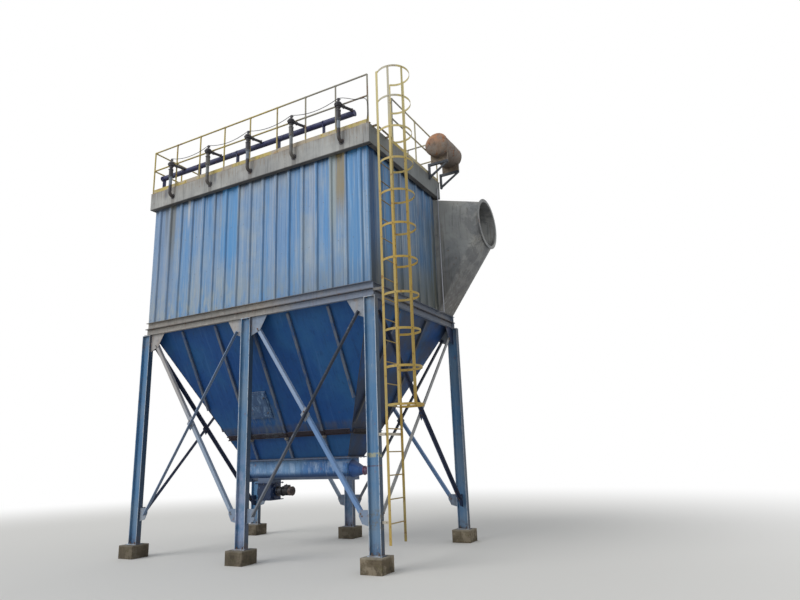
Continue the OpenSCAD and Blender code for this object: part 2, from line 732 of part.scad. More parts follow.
// Access hatch: a flat door on a frame, on the front slope between two ribs
rib_step = 2 * (frame_l / 2 - hop_in) / (hopper_ribs + 1);
hatch_x = frame_l / 2 - (hopper_ribs % 2) * rib_step / 2;
hatch_v = 1370;
hatch_w = 600;
hatch_l = 640;
hatch_t = 25;
door_t = 12;
door_in = 35;
module access_hatch() {
    run = mouth_y0 - hop_in;
    hx = hatch_w / 2;
    hy = hatch_l / 2;
    color("steelblue") place() translate([hatch_x, mouth_y0, mouth_z]) rotate([atan2(hop_rise, -run), 0, 0])
        translate([0, hatch_v, hopper_t]) {
            difference() {
                block([-hx, -hy, 0], [hx, hy, hatch_t]);
                block([door_in - hx + 12, door_in - hy + 12, 6],
                      [hx - door_in - 12, hy - door_in - 12, hatch_t + 1]);
            }
            block([door_in - hx, door_in - hy, hatch_t - 1], [hx - door_in, hy - door_in, hatch_t + door_t]);
            for (y = [-hy + 140, hy - 140]) {
                translate([door_in - hx - 6, y - 45, hatch_t + 8]) rotate([-90, 0, 0])
                    cylinder(d = 22, h = 90, $fn = 24);
                block([door_in - hx - 12, y - 30, hatch_t - 1],
                      [door_in - hx + 90, y + 30, hatch_t + door_t + 6]);
                block([hx - door_in - 70, y - 14, hatch_t - 1],
                      [hx - 4, y + 14, hatch_t + door_t + 10]);
            }
            for (x = [-60, 60])
                translate([x, 0, hatch_t]) cylinder(d = 14, h = door_t + 50, $fn = 16);
            translate([-67, 0, hatch_t + door_t + 46]) rotate([0, 90, 0]) cylinder(d = 14, h = 134, $fn = 16);
        }
}

// Screw conveyor: closed round-bottomed trough under the mouth, with a spout at its left end
trough_r = 220;
trough_x0 = mouth_x0 + 50;
trough_x1 = mouth_x0 + mouth_l - 90;
trough_low = 1490;
trough_y = frame_d / 2;
spout_x = trough_x0 + 430;
spout_w = 380;
end_t = 14;
end_over = 35;
valve_top = 1440;
bearing_l = 85;
trough_straps = [700, 1420, 2140];
module screw_trough() {
    color("steelblue") place() {
        block([mouth_x0 - rim_w, mouth_y0 - rim_w, mouth_z - rim_t],
              [mouth_x0 + mouth_l + rim_w, mouth_y0 + mouth_w + rim_w, mouth_z]);
        translate([trough_x0, trough_y, trough_low + trough_r]) rotate([90, 0, 90])
            linear_extrude(trough_x1 - trough_x0) union() {
                circle(r = trough_r, $fn = 64);
                translate([-trough_r, 0]) square([2 * trough_r, mouth_z - rim_t - trough_low - trough_r + 1]);
            }
        for (x = [trough_x0 - end_t, trough_x1])
            block([x, trough_y - trough_r - end_over, trough_low - 25],
                  [x + end_t, trough_y + trough_r + end_over, mouth_z - rim_t + 1]);
        block([spout_x - spout_w / 2, trough_y - spout_w / 2, valve_top],
              [spout_x + spout_w / 2, trough_y + spout_w / 2, trough_low + 60]);
        translate([trough_x0 - end_t - bearing_l, trough_y, trough_low + trough_r]) rotate([0, 90, 0]) {
            cylinder(d = 150, h = bearing_l + 1, $fn = 48);
            translate([0, 0, bearing_l - 20]) cylinder(d = 220, h = 21, $fn = 48);
        }
        for (x = trough_straps)
            block([mouth_x0 + x, trough_y - trough_r - 8, mouth_z - rim_t - 60],
                  [mouth_x0 + x + 60, trough_y + trough_r + 8, mouth_z - rim_t + 1]);
    }
}

// Rotary valve: round body between two square flanges, open mouth below, gear motor on its right end
rv_h = 390;
rv_r = 185;
rv_l = 420;
rv_flange = 470;
rv_bolt = 424;
rv_flange_t = 18;
rv_mouth_d = 120;
rv_bolt_dia = 16;
rv_mouth = 280;

// Gear motor along +Z from z = 0: flange, gear case, finned body, fan cowl and a terminal box
module gear_motor(r, gear_l, body_l) {
    cowl_l = 0.28 * body_l;
    cylinder(r = r * 1.15, h = 16, $fn = 48);
    cylinder(r = r * 0.95, h = gear_l, $fn = 48);
    translate([0, 0, gear_l - 14]) cylinder(r = r * 1.12, h = 14, $fn = 48);
    translate([0, 0, gear_l - 1]) {
        cylinder(r = r * 0.82, h = body_l, $fn = 48);
        for (a = [0:15:345]) rotate([0, 0, a])
            block([0, -2.5, 0], [r * 0.98, 2.5, body_l - cowl_l + 1]);
        translate([0, 0, body_l - cowl_l]) cylinder(r = r, h = cowl_l, $fn = 48);
        block([-r * 1.35, -r * 0.5, body_l * 0.2], [-r * 0.7, r * 0.5, body_l * 0.62]);
    }
}

module rotary_valve() {
    z1 = valve_top;
    z0 = valve_top - rv_h;
    zc = (z0 + z1) / 2;
    f = rv_flange_t;
    color("royalblue") place() difference() {
        union() {
            translate([spout_x - rv_l / 2, trough_y, zc]) rotate([0, 90, 0]) {
                cylinder(r = rv_r, h = rv_l, $fn = 64);
                translate([0, 0, -70]) cylinder(r = 62, h = 71, $fn = 48);
                translate([0, 0, -18]) cylinder(r = rv_r - 20, h = 19, $fn = 64);
            }
            block([spout_x - rv_l / 2 + 20, trough_y - rv_r, z0],
                  [spout_x + rv_l / 2 - 20, trough_y + rv_r, z1]);
            for (z = [z0, z1 - f])
                block([spout_x - rv_flange / 2, trough_y - rv_flange / 2, z],
                      [spout_x + rv_flange / 2, trough_y + rv_flange / 2, z + f]);
            translate([spout_x + rv_l / 2, trough_y, zc]) rotate([0, 90, 0]) {
                cylinder(r = rv_r - 20, h = 18, $fn = 64);
                cylinder(r = 70, h = 61, $fn = 48);
                translate([0, 0, 60]) gear_motor(100, 150, 270);
            }
        }
        translate([spout_x - rv_mouth / 2, trough_y - rv_mouth / 2, z0 - 1])
            cube([rv_mouth, rv_mouth, rv_mouth_d]);
        for (sx = [-1, 1], sy = [-1, 1])
            translate([spout_x + sx * rv_bolt / 2, trough_y + sy * rv_bolt / 2, z0 - 1])
                cylinder(d = rv_bolt_dia, h = f + 2, $fn = 24);
    }
}

// Conveyor drive: tapered cover that drops towards its small end, then the gear motor
cover_r = 190;
cover_l = 300;
cover_drop = 50;
tip_r = 78;
module conveyor_drive() {
    color("royalblue") place()
        translate([trough_x1 + end_t, trough_y, trough_low + trough_r]) rotate([0, 90, 0]) {
            hull() {
                cylinder(r = cover_r, h = 12, $fn = 64);
                translate([cover_drop, 0, cover_l - 12]) cylinder(r = tip_r, h = 12, $fn = 64);
            }
            translate([cover_drop, 0, cover_l - 1]) gear_motor(85, 110, 240);
        }
}

// Air receiver: short drum with dished ends, lying in two cradles at the right-hand roof edge. Nozzles:
// distance along the drum, 1 for downwards, radius and reach
nozzles = [[760, 0, 28, 60], [525, 1, 14, 50]];
module air_receiver() {
    near = [for (a = [15:15:90]) [drum_r * sin(a), dish * (1 - cos(a))]];
    far = [for (a = [90:-15:15]) [drum_r * sin(a), drum_l - dish * (1 - cos(a))]];
    color("rosybrown") place() translate([drum_x, drum_y0, drum_z]) {
        rotate([-90, 0, 0]) rotate_extrude($fn = 64) polygon(concat([[0, 0]], near, far, [[0, drum_l]]));
        for (n = nozzles) translate([0, n[0], 0]) mirror([0, 0, n[1]]) {
            cylinder(r = n[2], h = drum_r + n[3], $fn = 32);
            translate([0, 0, drum_r + n[3] - 12]) cylinder(r = n[2] + 22, h = 12, $fn = 32);
        }
    }
}

// Two frames on the roof band, each an arm, a leg and a strut, with a cradle for the drum on the arm
bracket_h = 390;
strut_t = 45;
module receiver_bracket() {
    arm_end = drum_x + 0.75 * drum_r;
    cradle_half = 0.75 * drum_r;
    module plate(y, t) {
        translate([0, y + t / 2, 0]) rotate([90, 0, 0]) linear_extrude(t) children();
    }
    color("darkslategray") place()
        for (y = [drum_y0 + dish + 140, drum_y0 + drum_l - dish - arm_w]) {
            block([band_x1, y - arm_w / 2, arm_top - arm_w], [arm_end, y + arm_w / 2, arm_top]);
            block([band_x1, y - arm_w / 2, arm_top - bracket_h], [band_x1 + strut_t, y + arm_w / 2, arm_top]);
            plate(y, strut_t) polygon([
                [arm_end, arm_top - arm_w + 1], [arm_end - 1.2 * strut_t, arm_top - arm_w + 1],
                [band_x1 + 5, arm_top - bracket_h + 1.2 * strut_t], [band_x1 + 5, arm_top - bracket_h]]);
            plate(y, cradle_t) difference() {
                translate([drum_x - cradle_half, arm_top - 1]) square([2 * cradle_half, 0.65 * drum_r]);
                translate([drum_x, drum_z]) circle(r = drum_r + seat, $fn = 128);
            }
        }
}

// Cable conduit down the rear right-hand corner, clipped to the roof band and the base rail's web
conduit_dia = 26;
conduit_gap = 10;
clip_h = 20;
module corner_conduit() {
    cx = band_x1 + conduit_gap + conduit_dia / 2;
    cy = casing_y1 - 60;
    web_x = frame_l + ring_out - 10 - beam_b + beam_t;
    color("lightgray") place() {
        translate([cx, cy, wall_z - 60]) cylinder(d = conduit_dia, h = band_z + 200 - wall_z + 60, $fn = 24);
        for (c = [[web_x, wall_z - 50], [band_x1, band_z + 60], [band_x1, band_z + 160]])
            block([c[0], cy - clip_h / 2, c[1]], [cx, cy + clip_h / 2, c[1] + clip_h]);
    }
}

// Signal cable over the valves' coils, sagging between them, then along the middle rail and down the post
wire_dia = 14;
wire_sag = 110;
wire_z = valve_z + valve_r + coil_l + wire_dia / 2 + seat;
post_x = band_x1 - rail_in - rail_dia / 2;
post_y = band_y0 + rail_in - wire_dia / 2 - seat;
wire_end = [
    [120, 0, -30], [230, 30, -60], [330, 70, -90], [420, 98, -105], [500, 105, -110], [560, 105, -118],
    [605, 105, -145], [635, 105, -190], [650, 105, -260], [660, 105, -340], [655, 105, -420],
    [640, 105, -500], [628, 105, -580], [622, 105, -650]
];
wire_scale = [(post_x - valve_x(chambers - 1)) / 640, (post_y - valve_y) / 105, (wire_z - roof_z - 2) / 650];
function wire_span(i) = [for (k = [0:7]) let (t = k / 8)
    [valve_x(i) + t * chamber_w, valve_y, wire_z - 4 * wire_sag * t * (1 - t)]];
wire_route = concat(
    [[valve_x(0) - 20, valve_y, wire_z]],
    [for (i = [0:chambers - 2], p = wire_span(i)) i == 0 && p[0] == valve_x(0) ? p + [10, 0, 0] : p],
    [[valve_x(chambers - 1), valve_y, wire_z]],
    [for (p = wire_end) [valve_x(chambers - 1) + p[0] * wire_scale[0], valve_y + p[1] * wire_scale[1],
                         wire_z + p[2] * wire_scale[2]]]
);
function unit(v) = v / norm(v);
module signal_cable() {
    sides = 8;
    n = len(wire_route);
    rings = [for (i = [0:n - 1])
        let (t = unit(wire_route[min(i + 1, n - 1)] - wire_route[max(i - 1, 0)]),
             a = unit(cross([0, 1, 0], t)), b = cross(t, a))
            for (k = [0:sides - 1])
                wire_route[i] + wire_dia / 2 * (cos(k * 360 / sides) * a + sin(k * 360 / sides) * b)];
    walls = [for (i = [0:n - 2], k = [0:sides - 1]) let (m = (k + 1) % sides, r = i * sides, q = r + sides)
        [r + k, q + k, q + m, r + m]];
    ends = [[for (k = [0:sides - 1]) k], [for (k = [sides - 1:-1:0]) (n - 1) * sides + k]];
    color("dimgray") place() polyhedron(rings, concat(walls, ends));
}

plinths();
columns();
long_support_beams();
end_support_beams();
long_base_rails();
end_base_rails();
long_gussets();
end_gussets();
long_braces();
end_braces();
front_wall();
left_wall();
right_wall();
rear_wall();
plenum_back();
plenum_left_end();
plenum_roof();
inlet_transition();
inlet_flange();
outlet_stub();
roof_deck();
roof_lids();
long_roof_bands();
end_roof_bands();
front_handrail();
rear_handrail();
left_handrail();
right_handrail();
air_header();
header_stands();
pulse_valves();
drop_pipes();
ladder();
cage_hoops();
cage_straps();
ladder_brackets();
hopper_front();
hopper_rear();
hopper_left();
hopper_right();
access_hatch();
screw_trough();
rotary_valve();
conveyor_drive();
air_receiver();
receiver_bracket();
corner_conduit();
signal_cable();
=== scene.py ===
import random
from math import cos, hypot, pi, radians, sin, sqrt, tau

import bmesh
import bpy
from mathutils import Matrix, Vector


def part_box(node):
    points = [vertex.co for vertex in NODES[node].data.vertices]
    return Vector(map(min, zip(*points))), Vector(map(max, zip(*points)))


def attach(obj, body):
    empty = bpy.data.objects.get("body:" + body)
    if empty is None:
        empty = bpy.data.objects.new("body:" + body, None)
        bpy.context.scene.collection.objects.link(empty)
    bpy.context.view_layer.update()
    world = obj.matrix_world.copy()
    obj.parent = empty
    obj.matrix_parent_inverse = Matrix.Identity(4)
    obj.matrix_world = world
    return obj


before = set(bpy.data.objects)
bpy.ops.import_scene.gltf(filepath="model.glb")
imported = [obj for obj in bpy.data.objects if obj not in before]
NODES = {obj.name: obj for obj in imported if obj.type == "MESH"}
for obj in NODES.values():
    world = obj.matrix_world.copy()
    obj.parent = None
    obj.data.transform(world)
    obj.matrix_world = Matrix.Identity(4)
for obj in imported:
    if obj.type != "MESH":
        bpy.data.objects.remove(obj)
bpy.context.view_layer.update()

LEFT, RIGHT, FRONT, BACK, DOWN, UP = (
    Vector(v) for v in ((-1, 0, 0), (1, 0, 0), (0, -1, 0), (0, 1, 0), (0, 0, -1), (0, 0, 1)))

# The part's own grid: x from the left columns, y from the front row, z from the ground, in metres
PLINTH_LO, PLINTH_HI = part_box("plinths")
PLINTH_W = 0.43
GX = PLINTH_LO.x + PLINTH_W / 2
GY = PLINTH_LO.y + PLINTH_W / 2
BAY = (PLINTH_HI.x - PLINTH_LO.x - PLINTH_W) / 2
DEPTH = PLINTH_HI.y - PLINTH_LO.y - PLINTH_W
LENGTH = 2 * BAY


def at(x, y, z):
    """A point of the part's own grid in the row frame."""
    return Vector((x + GX, y + GY, z))


def spot(name):
    """A CAD node's lowest and highest corner on the part's own grid."""
    low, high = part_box(name)
    return low - at(0, 0, 0), high - at(0, 0, 0)


# Measures of the CAD nodes, on the part's own grid
BEAM_LO, BEAM_HI = spot("long_support_beams")
RING_LO, RING_HI = spot("long_base_rails")
WALL_LO, WALL_HI = spot("front_wall")
SIDE_LO, SIDE_HI = spot("right_wall")
BAND_LO, BAND_HI = spot("long_roof_bands")
RAIL_HI = spot("front_handrail")[1]
PIPE_LO, PIPE_HI = spot("air_header")
TAP_LO, TAP_HI = spot("pulse_valves")
LAD_LO, LAD_HI = spot("ladder")
CAGE_Z = spot("cage_hoops")[0].z
TROUGH_LO, TROUGH_HI = spot("screw_trough")
STAR_LO, STAR_HI = spot("rotary_valve")
DRIVE_HI = spot("conveyor_drive")[1]
DRUM_LO, DRUM_HI = spot("air_receiver")
ARM_LO, ARM_HI = spot("receiver_bracket")
COND_LO, COND_HI = spot("corner_conduit")
ROOF_Z = BAND_HI.z
BASE_Z = PLINTH_HI.z + 0.016  # top of the base plates
CHAMBER = LENGTH / 5
COL_H, COL_B, COL_TF, COL_TW = 0.25, 0.118, 0.013, 0.008
COLUMNS = [(x, y) for x in (0, BAY, LENGTH) for y in (0, DEPTH)]
LONG_PITCH = (WALL_HI.x - WALL_LO.x) / 17
SIDE_PITCH = (SIDE_HI.y - SIDE_LO.y) / 8
LOW_TIE, MID_TIE = 0.825, 2.325  # the ladder's lower brackets

# Hopper: its panels rise by SLANT_RISE over SLANT_RUN from the mouth
SLANT_RUN, SLANT_RISE = 1.6217, 3.1247
SLANT = hypot(SLANT_RUN, SLANT_RISE)
SLANT_COS, SLANT_SIN = -SLANT_RUN / SLANT, SLANT_RISE / SLANT
MOUTH_X0, MOUTH_L, MOUTH_W, MOUTH_Z = TROUGH_LO.x + 0.06, 2.9, 0.6, TROUGH_HI.z
MOUTH_Y0 = (DEPTH - MOUTH_W) / 2
LOW_HALF = {"x": MOUTH_L / 2, "y": MOUTH_W / 2}
TOP_HALF = {axis: half + SLANT_RUN for axis, half in LOW_HALF.items()}
BELT_V, BELT_HALF = (2.5 - MOUTH_Z) / SLANT_RISE * SLANT, 0.05
RIBS = {"x": 5, "y": 2}
HOPPER_SIDES = {"front": "x", "rear": "x", "left": "y", "right": "y"}
HATCH_U, HATCH_V = -TOP_HALF["x"] / 6, 1.37


# Camera and light

def new_object(name, data):
    obj = bpy.data.objects.new(name, data)
    bpy.context.collection.objects.link(obj)
    return obj


def add_camera():
    """The photograph's camera: its place and angles were solved from the photograph's lines."""
    yaw, pitch, roll = (radians(a) for a in (28.038, 14.471, -2.163))
    place = at(11.953, -9.605, 1.940)
    focal_px, width_px = 602.776, 800
    forward = Vector((-sin(yaw) * cos(pitch), cos(yaw) * cos(pitch), sin(pitch)))
    right = Vector((cos(yaw), sin(yaw), 0))
    up = right.cross(forward)
    right, up = right * cos(roll) + up * sin(roll), up * cos(roll) - right * sin(roll)
    data = bpy.data.cameras.new("camera")
    data.sensor_width = 36
    data.lens = focal_px / width_px * data.sensor_width
    data.clip_end = 500
    cam = new_object("camera", data)
    turn = Matrix((right, up, -forward)).transposed().to_4x4()
    cam.matrix_world = Matrix.Translation(place) @ turn
    bpy.context.scene.camera = cam


def add_sun(name, direction, energy, angle):
    data = bpy.data.lights.new(name, "SUN")
    data.energy = energy
    data.angle = radians(angle)
    lamp = new_object(name, data)
    lamp.rotation_mode = "QUATERNION"
    lamp.rotation_quaternion = Vector(direction).to_track_quat("-Z", "Y")


def backdrop_rays(nt):
    """1 for camera, glossy and transmission rays, which see the white backdrop."""
    path = nt.nodes.new("ShaderNodeLightPath")
    seen = path.outputs["Is Camera Ray"]
    for ray in ("Is Glossy Ray", "Is Transmission Ray"):
        either = nt.nodes.new("ShaderNodeMath")
        either.operation = "MAXIMUM"
        nt.links.new(seen, either.inputs[0])
        nt.links.new(path.outputs[ray], either.inputs[1])
        seen = either.outputs[0]
    return seen


def add_world(light, backdrop):
    world = bpy.data.worlds.new("studio")
    bpy.context.scene.world = world
    world.use_nodes = True
    nt = world.node_tree
    nt.nodes.clear()
    mix = nt.nodes.new("ShaderNodeMixShader")
    nt.links.new(backdrop_rays(nt), mix.inputs[0])
    for i, tint, strength in ((1, (0.93, 0.96, 1.0, 1), light), (2, (1, 1, 1, 1), backdrop)):
        glow = nt.nodes.new("ShaderNodeBackground")
        glow.inputs[0].default_value = tint
        glow.inputs[1].default_value = strength
        nt.links.new(glow.outputs[0], mix.inputs[i])
    nt.links.new(mix.outputs[0], nt.nodes.new("ShaderNodeOutputWorld").inputs[0])


# Node graphs

def srgb(text):
    """A web colour as linear red, green and blue."""
    parts = [int(text[i:i + 2], 16) / 255 for i in (0, 2, 4)]
    return tuple(c / 12.92 if c <= 0.04045 else ((c + 0.055) / 1.055) ** 2.4 for c in parts) + (1.0,)


class Val:
    """A node socket that can be added, multiplied and so on."""

    def __init__(self, graph, socket):
        self.g = graph
        self.s = socket

    def __add__(self, o): return self.g.math("ADD", self, o)
    def __radd__(self, o): return self.g.math("ADD", o, self)
    def __sub__(self, o): return self.g.math("SUBTRACT", self, o)
    def __rsub__(self, o): return self.g.math("SUBTRACT", o, self)
    def __mul__(self, o): return self.g.math("MULTIPLY", self, o)
    def __rmul__(self, o): return self.g.math("MULTIPLY", o, self)
    def __truediv__(self, o): return self.g.math("DIVIDE", self, o)
    def abs(self): return self.g.math("ABSOLUTE", self)
    def sign(self): return self.g.math("SIGN", self)
    def floor(self): return self.g.math("FLOOR", self)
    def frac(self): return self.g.math("FRACT", self)
    def max(self, o): return self.g.math("MAXIMUM", self, o)
    def min(self, o): return self.g.math("MINIMUM", self, o)
    def clamp(self): return self.g.math("ADD", self, 0.0, clamp=True)

    def step(self, lo, hi):
        """Smooth step from 0 at lo to 1 at hi; lo may be above hi for a falling step."""
        n = self.g.node("ShaderNodeMapRange")
        n.interpolation_type = "SMOOTHSTEP"
        ends = (lo, hi, 0.0, 1.0) if lo <= hi else (hi, lo, 1.0, 0.0)
        for i, value in enumerate((self,) + ends):
            self.g.put(n.inputs[i], value)
        return Val(self.g, n.outputs[0])

    def band(self, centre, half, soft):
        """1 within half of centre, falling to 0 over soft."""
        return (self - centre).abs().step(half + soft, half)


class Graph:
    """One material's node tree around a Principled shader, with the colour laid on so far."""

    def __init__(self, name):
        self.mat = bpy.data.materials.new(name)
        self.mat.use_nodes = True
        self.nt = self.mat.node_tree
        self.nt.nodes.clear()
        self.out = self.node("ShaderNodeOutputMaterial")
        self.bsdf = self.node("ShaderNodeBsdfPrincipled")
        self.nt.links.new(self.bsdf.outputs[0], self.out.inputs[0])
        x, y, self.z = self.split(self.node("ShaderNodeTexCoord").outputs["Object"])
        self.x = x - GX
        self.y = y - GY
        self.pos = self.vec(self.x, self.y, self.z)
        geometry = self.node("ShaderNodeNewGeometry")
        self.nx, self.ny, self.nz = self.split(geometry.outputs["True Normal"])

    def node(self, kind):
        return self.nt.nodes.new(kind)

    def split(self, socket):
        n = self.node("ShaderNodeSeparateXYZ")
        self.nt.links.new(socket, n.inputs[0])
        return [Val(self, n.outputs[i]) for i in range(3)]

    def put(self, socket, value):
        """Fill a socket with a node's value, a number or a web colour."""
        if isinstance(value, Val):
            self.nt.links.new(value.s, socket)
        else:
            socket.default_value = srgb(value) if isinstance(value, str) else value

    def math(self, op, a, b=0.0, clamp=False):
        n = self.node("ShaderNodeMath")
        n.operation = op
        n.use_clamp = clamp
        self.put(n.inputs[0], a)
        self.put(n.inputs[1], b)
        return Val(self, n.outputs[0])

    def vec(self, x, y, z):
        n = self.node("ShaderNodeCombineXYZ")
        for i, k in enumerate((x, y, z)):
            self.put(n.inputs[i], k)
        return Val(self, n.outputs[0])

    def noise(self, scale, detail=3.0, rough=0.55, at=None, warp=0.0):
        n = self.node("ShaderNodeTexNoise")
        for key, value in (("Vector", at or self.pos), ("Scale", scale), ("Detail", detail),
                           ("Roughness", rough), ("Distortion", warp)):
            self.put(n.inputs[key], value)
        return Val(self, n.outputs[0])

    def blots(self, scale, lo, hi):
        """Blotches, whose edges run from lo to hi of the noise."""
        return self.noise(scale, 4, 0.7).step(lo, hi)

    def grain(self, kx, ky, kz, detail=5, rough=0.7, warp=0.0, scale=1.0):
        """Noise with a scale of its own along each axis."""
        return self.noise(scale, detail, rough, self.vec(self.x * kx, self.y * ky, self.z * kz), warp)

    def streaks(self, wide, tall, seed=0.0):
        """Noise drawn out upright: wide is its scale along the faces, tall its scale along z."""
        place = self.vec((self.x + seed) * wide, (self.y - seed) * wide, self.z * tall)
        return self.noise(1.0, 4, 0.62, place)

    def cells(self, value):
        """A random number for each whole number in value."""
        n = self.node("ShaderNodeTexWhiteNoise")
        n.noise_dimensions = "1D"
        self.put(n.inputs["W"], value)
        return Val(self, n.outputs[0])

    def mix(self, fac, a, b, blend="MIX"):
        n = self.node("ShaderNodeMix")
        n.data_type = "RGBA"
        n.blend_type = blend
        for i, value in ((0, fac), (6, a), (7, b)):
            self.put(n.inputs[i], value)
        return Val(self, n.outputs[2])

    def coat(self, mask, tint, blend="MIX"):
        """Lay a tint over the colour so far, as thick as the mask says."""
        self.colour = self.mix(mask, self.colour, tint, blend)

    def finish(self, rough, height=None, bump=0.3, spec=0.5):
        self.put(self.bsdf.inputs["Base Color"], self.colour)
        self.put(self.bsdf.inputs["Roughness"], rough)
        self.put(self.bsdf.inputs["Specular IOR Level"], spec)
        if height is not None:
            n = self.node("ShaderNodeBump")
            self.put(n.inputs["Strength"], bump)
            self.put(n.inputs["Distance"], 0.004)
            self.put(n.inputs["Height"], height)
            self.nt.links.new(n.outputs[0], self.bsdf.inputs["Normal"])
        return self.mat


# The last of these colours darkens both real grime and painted shade.
RUST_DARK, RUST, RUST_BRIGHT, DUST, GRIME_AND_SHADE = "4a2a1a", "8a4c26", "b5713a", "a8a49c", "33302c"
LOOKS = {}


def paint(name, main, faded, nodes="", *, fade=0.5, streak=0.35, chips=0.3, rust=0.35, dust=0.5,
          rough=0.55, runs=False, extra=None, seed=0.0, bump=0.25, spec=0.4):
    """Weathered paint: chalky fading, streaks down the faces, rusty chips, dust on top and painted shade on
    the faces that look down.
    runs adds rust runs under the roof band; extra(graph) may repaint places. The nodes get it."""
    g = Graph(name)
    shifted = g.vec(g.x + seed, g.y + seed * 1.7, g.z)
    broad = g.noise(0.9, 4, 0.6, shifted)
    g.colour = g.mix(broad.step(0.62 - fade * 0.5, 0.75 - fade * 0.2), main, faded)
    flat = 1.0 - g.nz.abs().step(0.3, 0.8)
    lines = g.streaks(14.4, 0.88, seed)
    g.coat(lines.step(0.52, 0.75) * flat * streak, faded)
    g.coat(lines.step(0.48, 0.28) * flat * streak * 0.8, GRIME_AND_SHADE, "MULTIPLY")
    if runs:
        near = g.z.step(BAND_LO.z - 1.6, BAND_LO.z)
        g.coat(g.streaks(23.0, 1.4, seed).step(0.5, 0.72) * near * flat * rust, RUST)
    spots = g.noise(7.0, 5, 0.7, shifted)
    chip = spots.step(0.70 - chips * 0.12, 0.73 - chips * 0.12)
    g.coat(chip * rust * 1.6, g.mix(g.noise(30, 2), RUST_DARK, RUST_BRIGHT))
    fine = g.noise(55, 3, 0.6)
    g.coat(fine * 0.22, GRIME_AND_SHADE, "MULTIPLY")
    top = g.nz.step(0.35, 0.9)
    g.coat(top * dust * (0.5 + 0.5 * broad), DUST)
    # Painted shade: the faces that look down are darkened.
    g.coat(g.nz.step(-0.2, -0.9) * 0.3, GRIME_AND_SHADE)
    if extra:
        extra(g)
    roughness = rough + (fine - 0.5) * 0.25 + chip * 0.2 + top * 0.15
    height = spots * 0.5 + fine * 0.12 + lines * 0.25
    LOOKS[name] = g.finish(roughness.clamp(), height, bump, spec)
    for node in nodes.split():
        NODES[node].data.materials.clear()
        NODES[node].data.materials.append(LOOKS[name])


# Looks of the CAD nodes, laid over their paint

def sheet_look(g, along, pitch, seed, seed2):
    """Sheet by sheet tints, painted highlights along the rib crests, painted shade in the folds, drips under
    the roof band, a painted shadow just under the band and a grey-green foot.
    """
    part = (along / pitch).frac()
    tint = g.cells((along / pitch + 0.5).floor() + seed)
    tint2 = g.cells((along / pitch).floor() * 2.0 + part.step(0.49, 0.51) + seed2)
    drift = g.streaks(5.0, 0.35, 2.0)
    g.coat(tint.step(0.45, 0.75) * drift.step(0.3, 0.6) * 0.7, "3a86c2")
    g.coat(tint2.step(0.6, 0.95) * 0.32, "a3abba")
    g.coat(tint2.step(0.35, 0.05) * 0.4, "4a7aac")
    soft = g.streaks(34.0, 0.8, 5.0)
    g.coat(soft.step(0.5, 0.68) * 0.4, "a9b3b8")
    g.coat(soft.step(0.46, 0.28) * 0.4, "2f639a")
    foot = g.z.step(WALL_LO.z + 1.1, WALL_LO.z + 0.05)
    haze = g.grain(6, 6, 1.5, 4, 0.6, scale=2.0)
    g.coat(foot * haze.step(0.3, 0.7) * 0.6, "848f90")
    fold = (part - 0.5).abs()
    # Painted shade: a dark line in the folds at the foot of each rib.
    g.coat(fold.band(0.155, 0.02, 0.03) * 0.4, "39506b")
    # Painted highlight: pale lines along the rib crests, broken into streaks.
    crest_highlight = fold.band(0.083, 0.012, 0.012) * g.streaks(9.0, 0.9, 12.0).step(0.42, 0.6)
    g.coat(crest_highlight * 0.45, "c6ccd0")
    drip = g.streaks(40.0, 0.7, 9.0).step(0.53, 0.7) * g.z.step(BAND_LO.z - 1.5, BAND_LO.z)
    g.coat(drip * 0.6, "55503f")
    # Painted shadow: a dark strip on the sheets just under the roof band.
    g.coat(g.z.step(BAND_LO.z - 0.07, BAND_LO.z - 0.02) * 0.75, GRIME_AND_SHADE, "MULTIPLY")
    return foot, haze


def front_look(g):
    """The front sheets with their bright, ochre and pale places and the stains at the left."""
    foot, haze = sheet_look(g, g.x - WALL_LO.x, LONG_PITCH, 3.0, 17.0)
    wash = g.streaks(22.0, 0.6, 1.0)
    bright = g.x.band(2.5, 0.25, 0.02) * g.z.step(BAND_LO.z - 1.9, BAND_LO.z - 1.5)
    g.coat(bright * wash.step(0.25, 0.5) * 0.6, "3f8ac4")
    corner = g.x.step(5.70, 5.76)
    g.coat(corner * wash.step(0.65, 0.45) * 0.7, "3f7fb4")
    g.coat(corner * wash.step(0.55, 0.7) * 0.6, "86b8e2")
    # Stains: x, half width, soft edge, how far they reach and fade below the band, wash, strength, tint
    for x, half, soft, reach, full, wet, strength, tint in (
            (5.55, 0.1, 0.06, 1.75, 0.7, (0.2, 0.55), 0.85, "87764a"),
            (5.36, 0.05, 0.05, 2.3, 1.2, (0.2, 0.5), 0.7, "98a19c"),
            (0.62, 0.05, 0.07, 2.4, 0.4, (0.25, 0.5), 0.75, "5f5a3c"),
            (0.40, 0.03, 0.05, 1.4, 0.1, None, 0.6, "3c4a52"),
            (1.16, 0.02, 0.04, 0.9, 0.2, None, 0.7, "c9c8c4")):
        stain = g.x.band(x, half, soft) * g.z.step(BAND_LO.z - reach, BAND_LO.z - full)
        if wet:
            stain = stain * wash.step(*wet)
        g.coat(stain * strength, tint)
    g.coat(g.x.step(1.6, 0.0) * 0.3, "9098a4")
    g.coat(foot * haze.step(0.38, 0.75) * g.x.step(3.4, 2.2) * 0.55, "abb1ac")
    g.coat(g.x.step(3.6, 5.2) * g.z.step(WALL_LO.z + 0.7, WALL_LO.z + 0.1) * 0.35, "46607e")


def side_look(g):
    """The end sheets: dark by the front corner, ochre and darker towards the foot."""
    sheet_look(g, g.y - WALL_LO.y, SIDE_PITCH, 41.0, 77.0)
    g.coat(g.y.step(0.42, 0.16) * 0.75, "1f4a78")
    far = g.y.step(2.2, 3.0) * (1.0 - g.z.step(7.0, 7.9)) * g.streaks(12.0, 0.6, 4.0).step(0.25, 0.6)
    g.coat(far * 0.75, "605d48")
    g.coat(g.z.step(6.6, 5.2) * 0.75, "3a3d35")


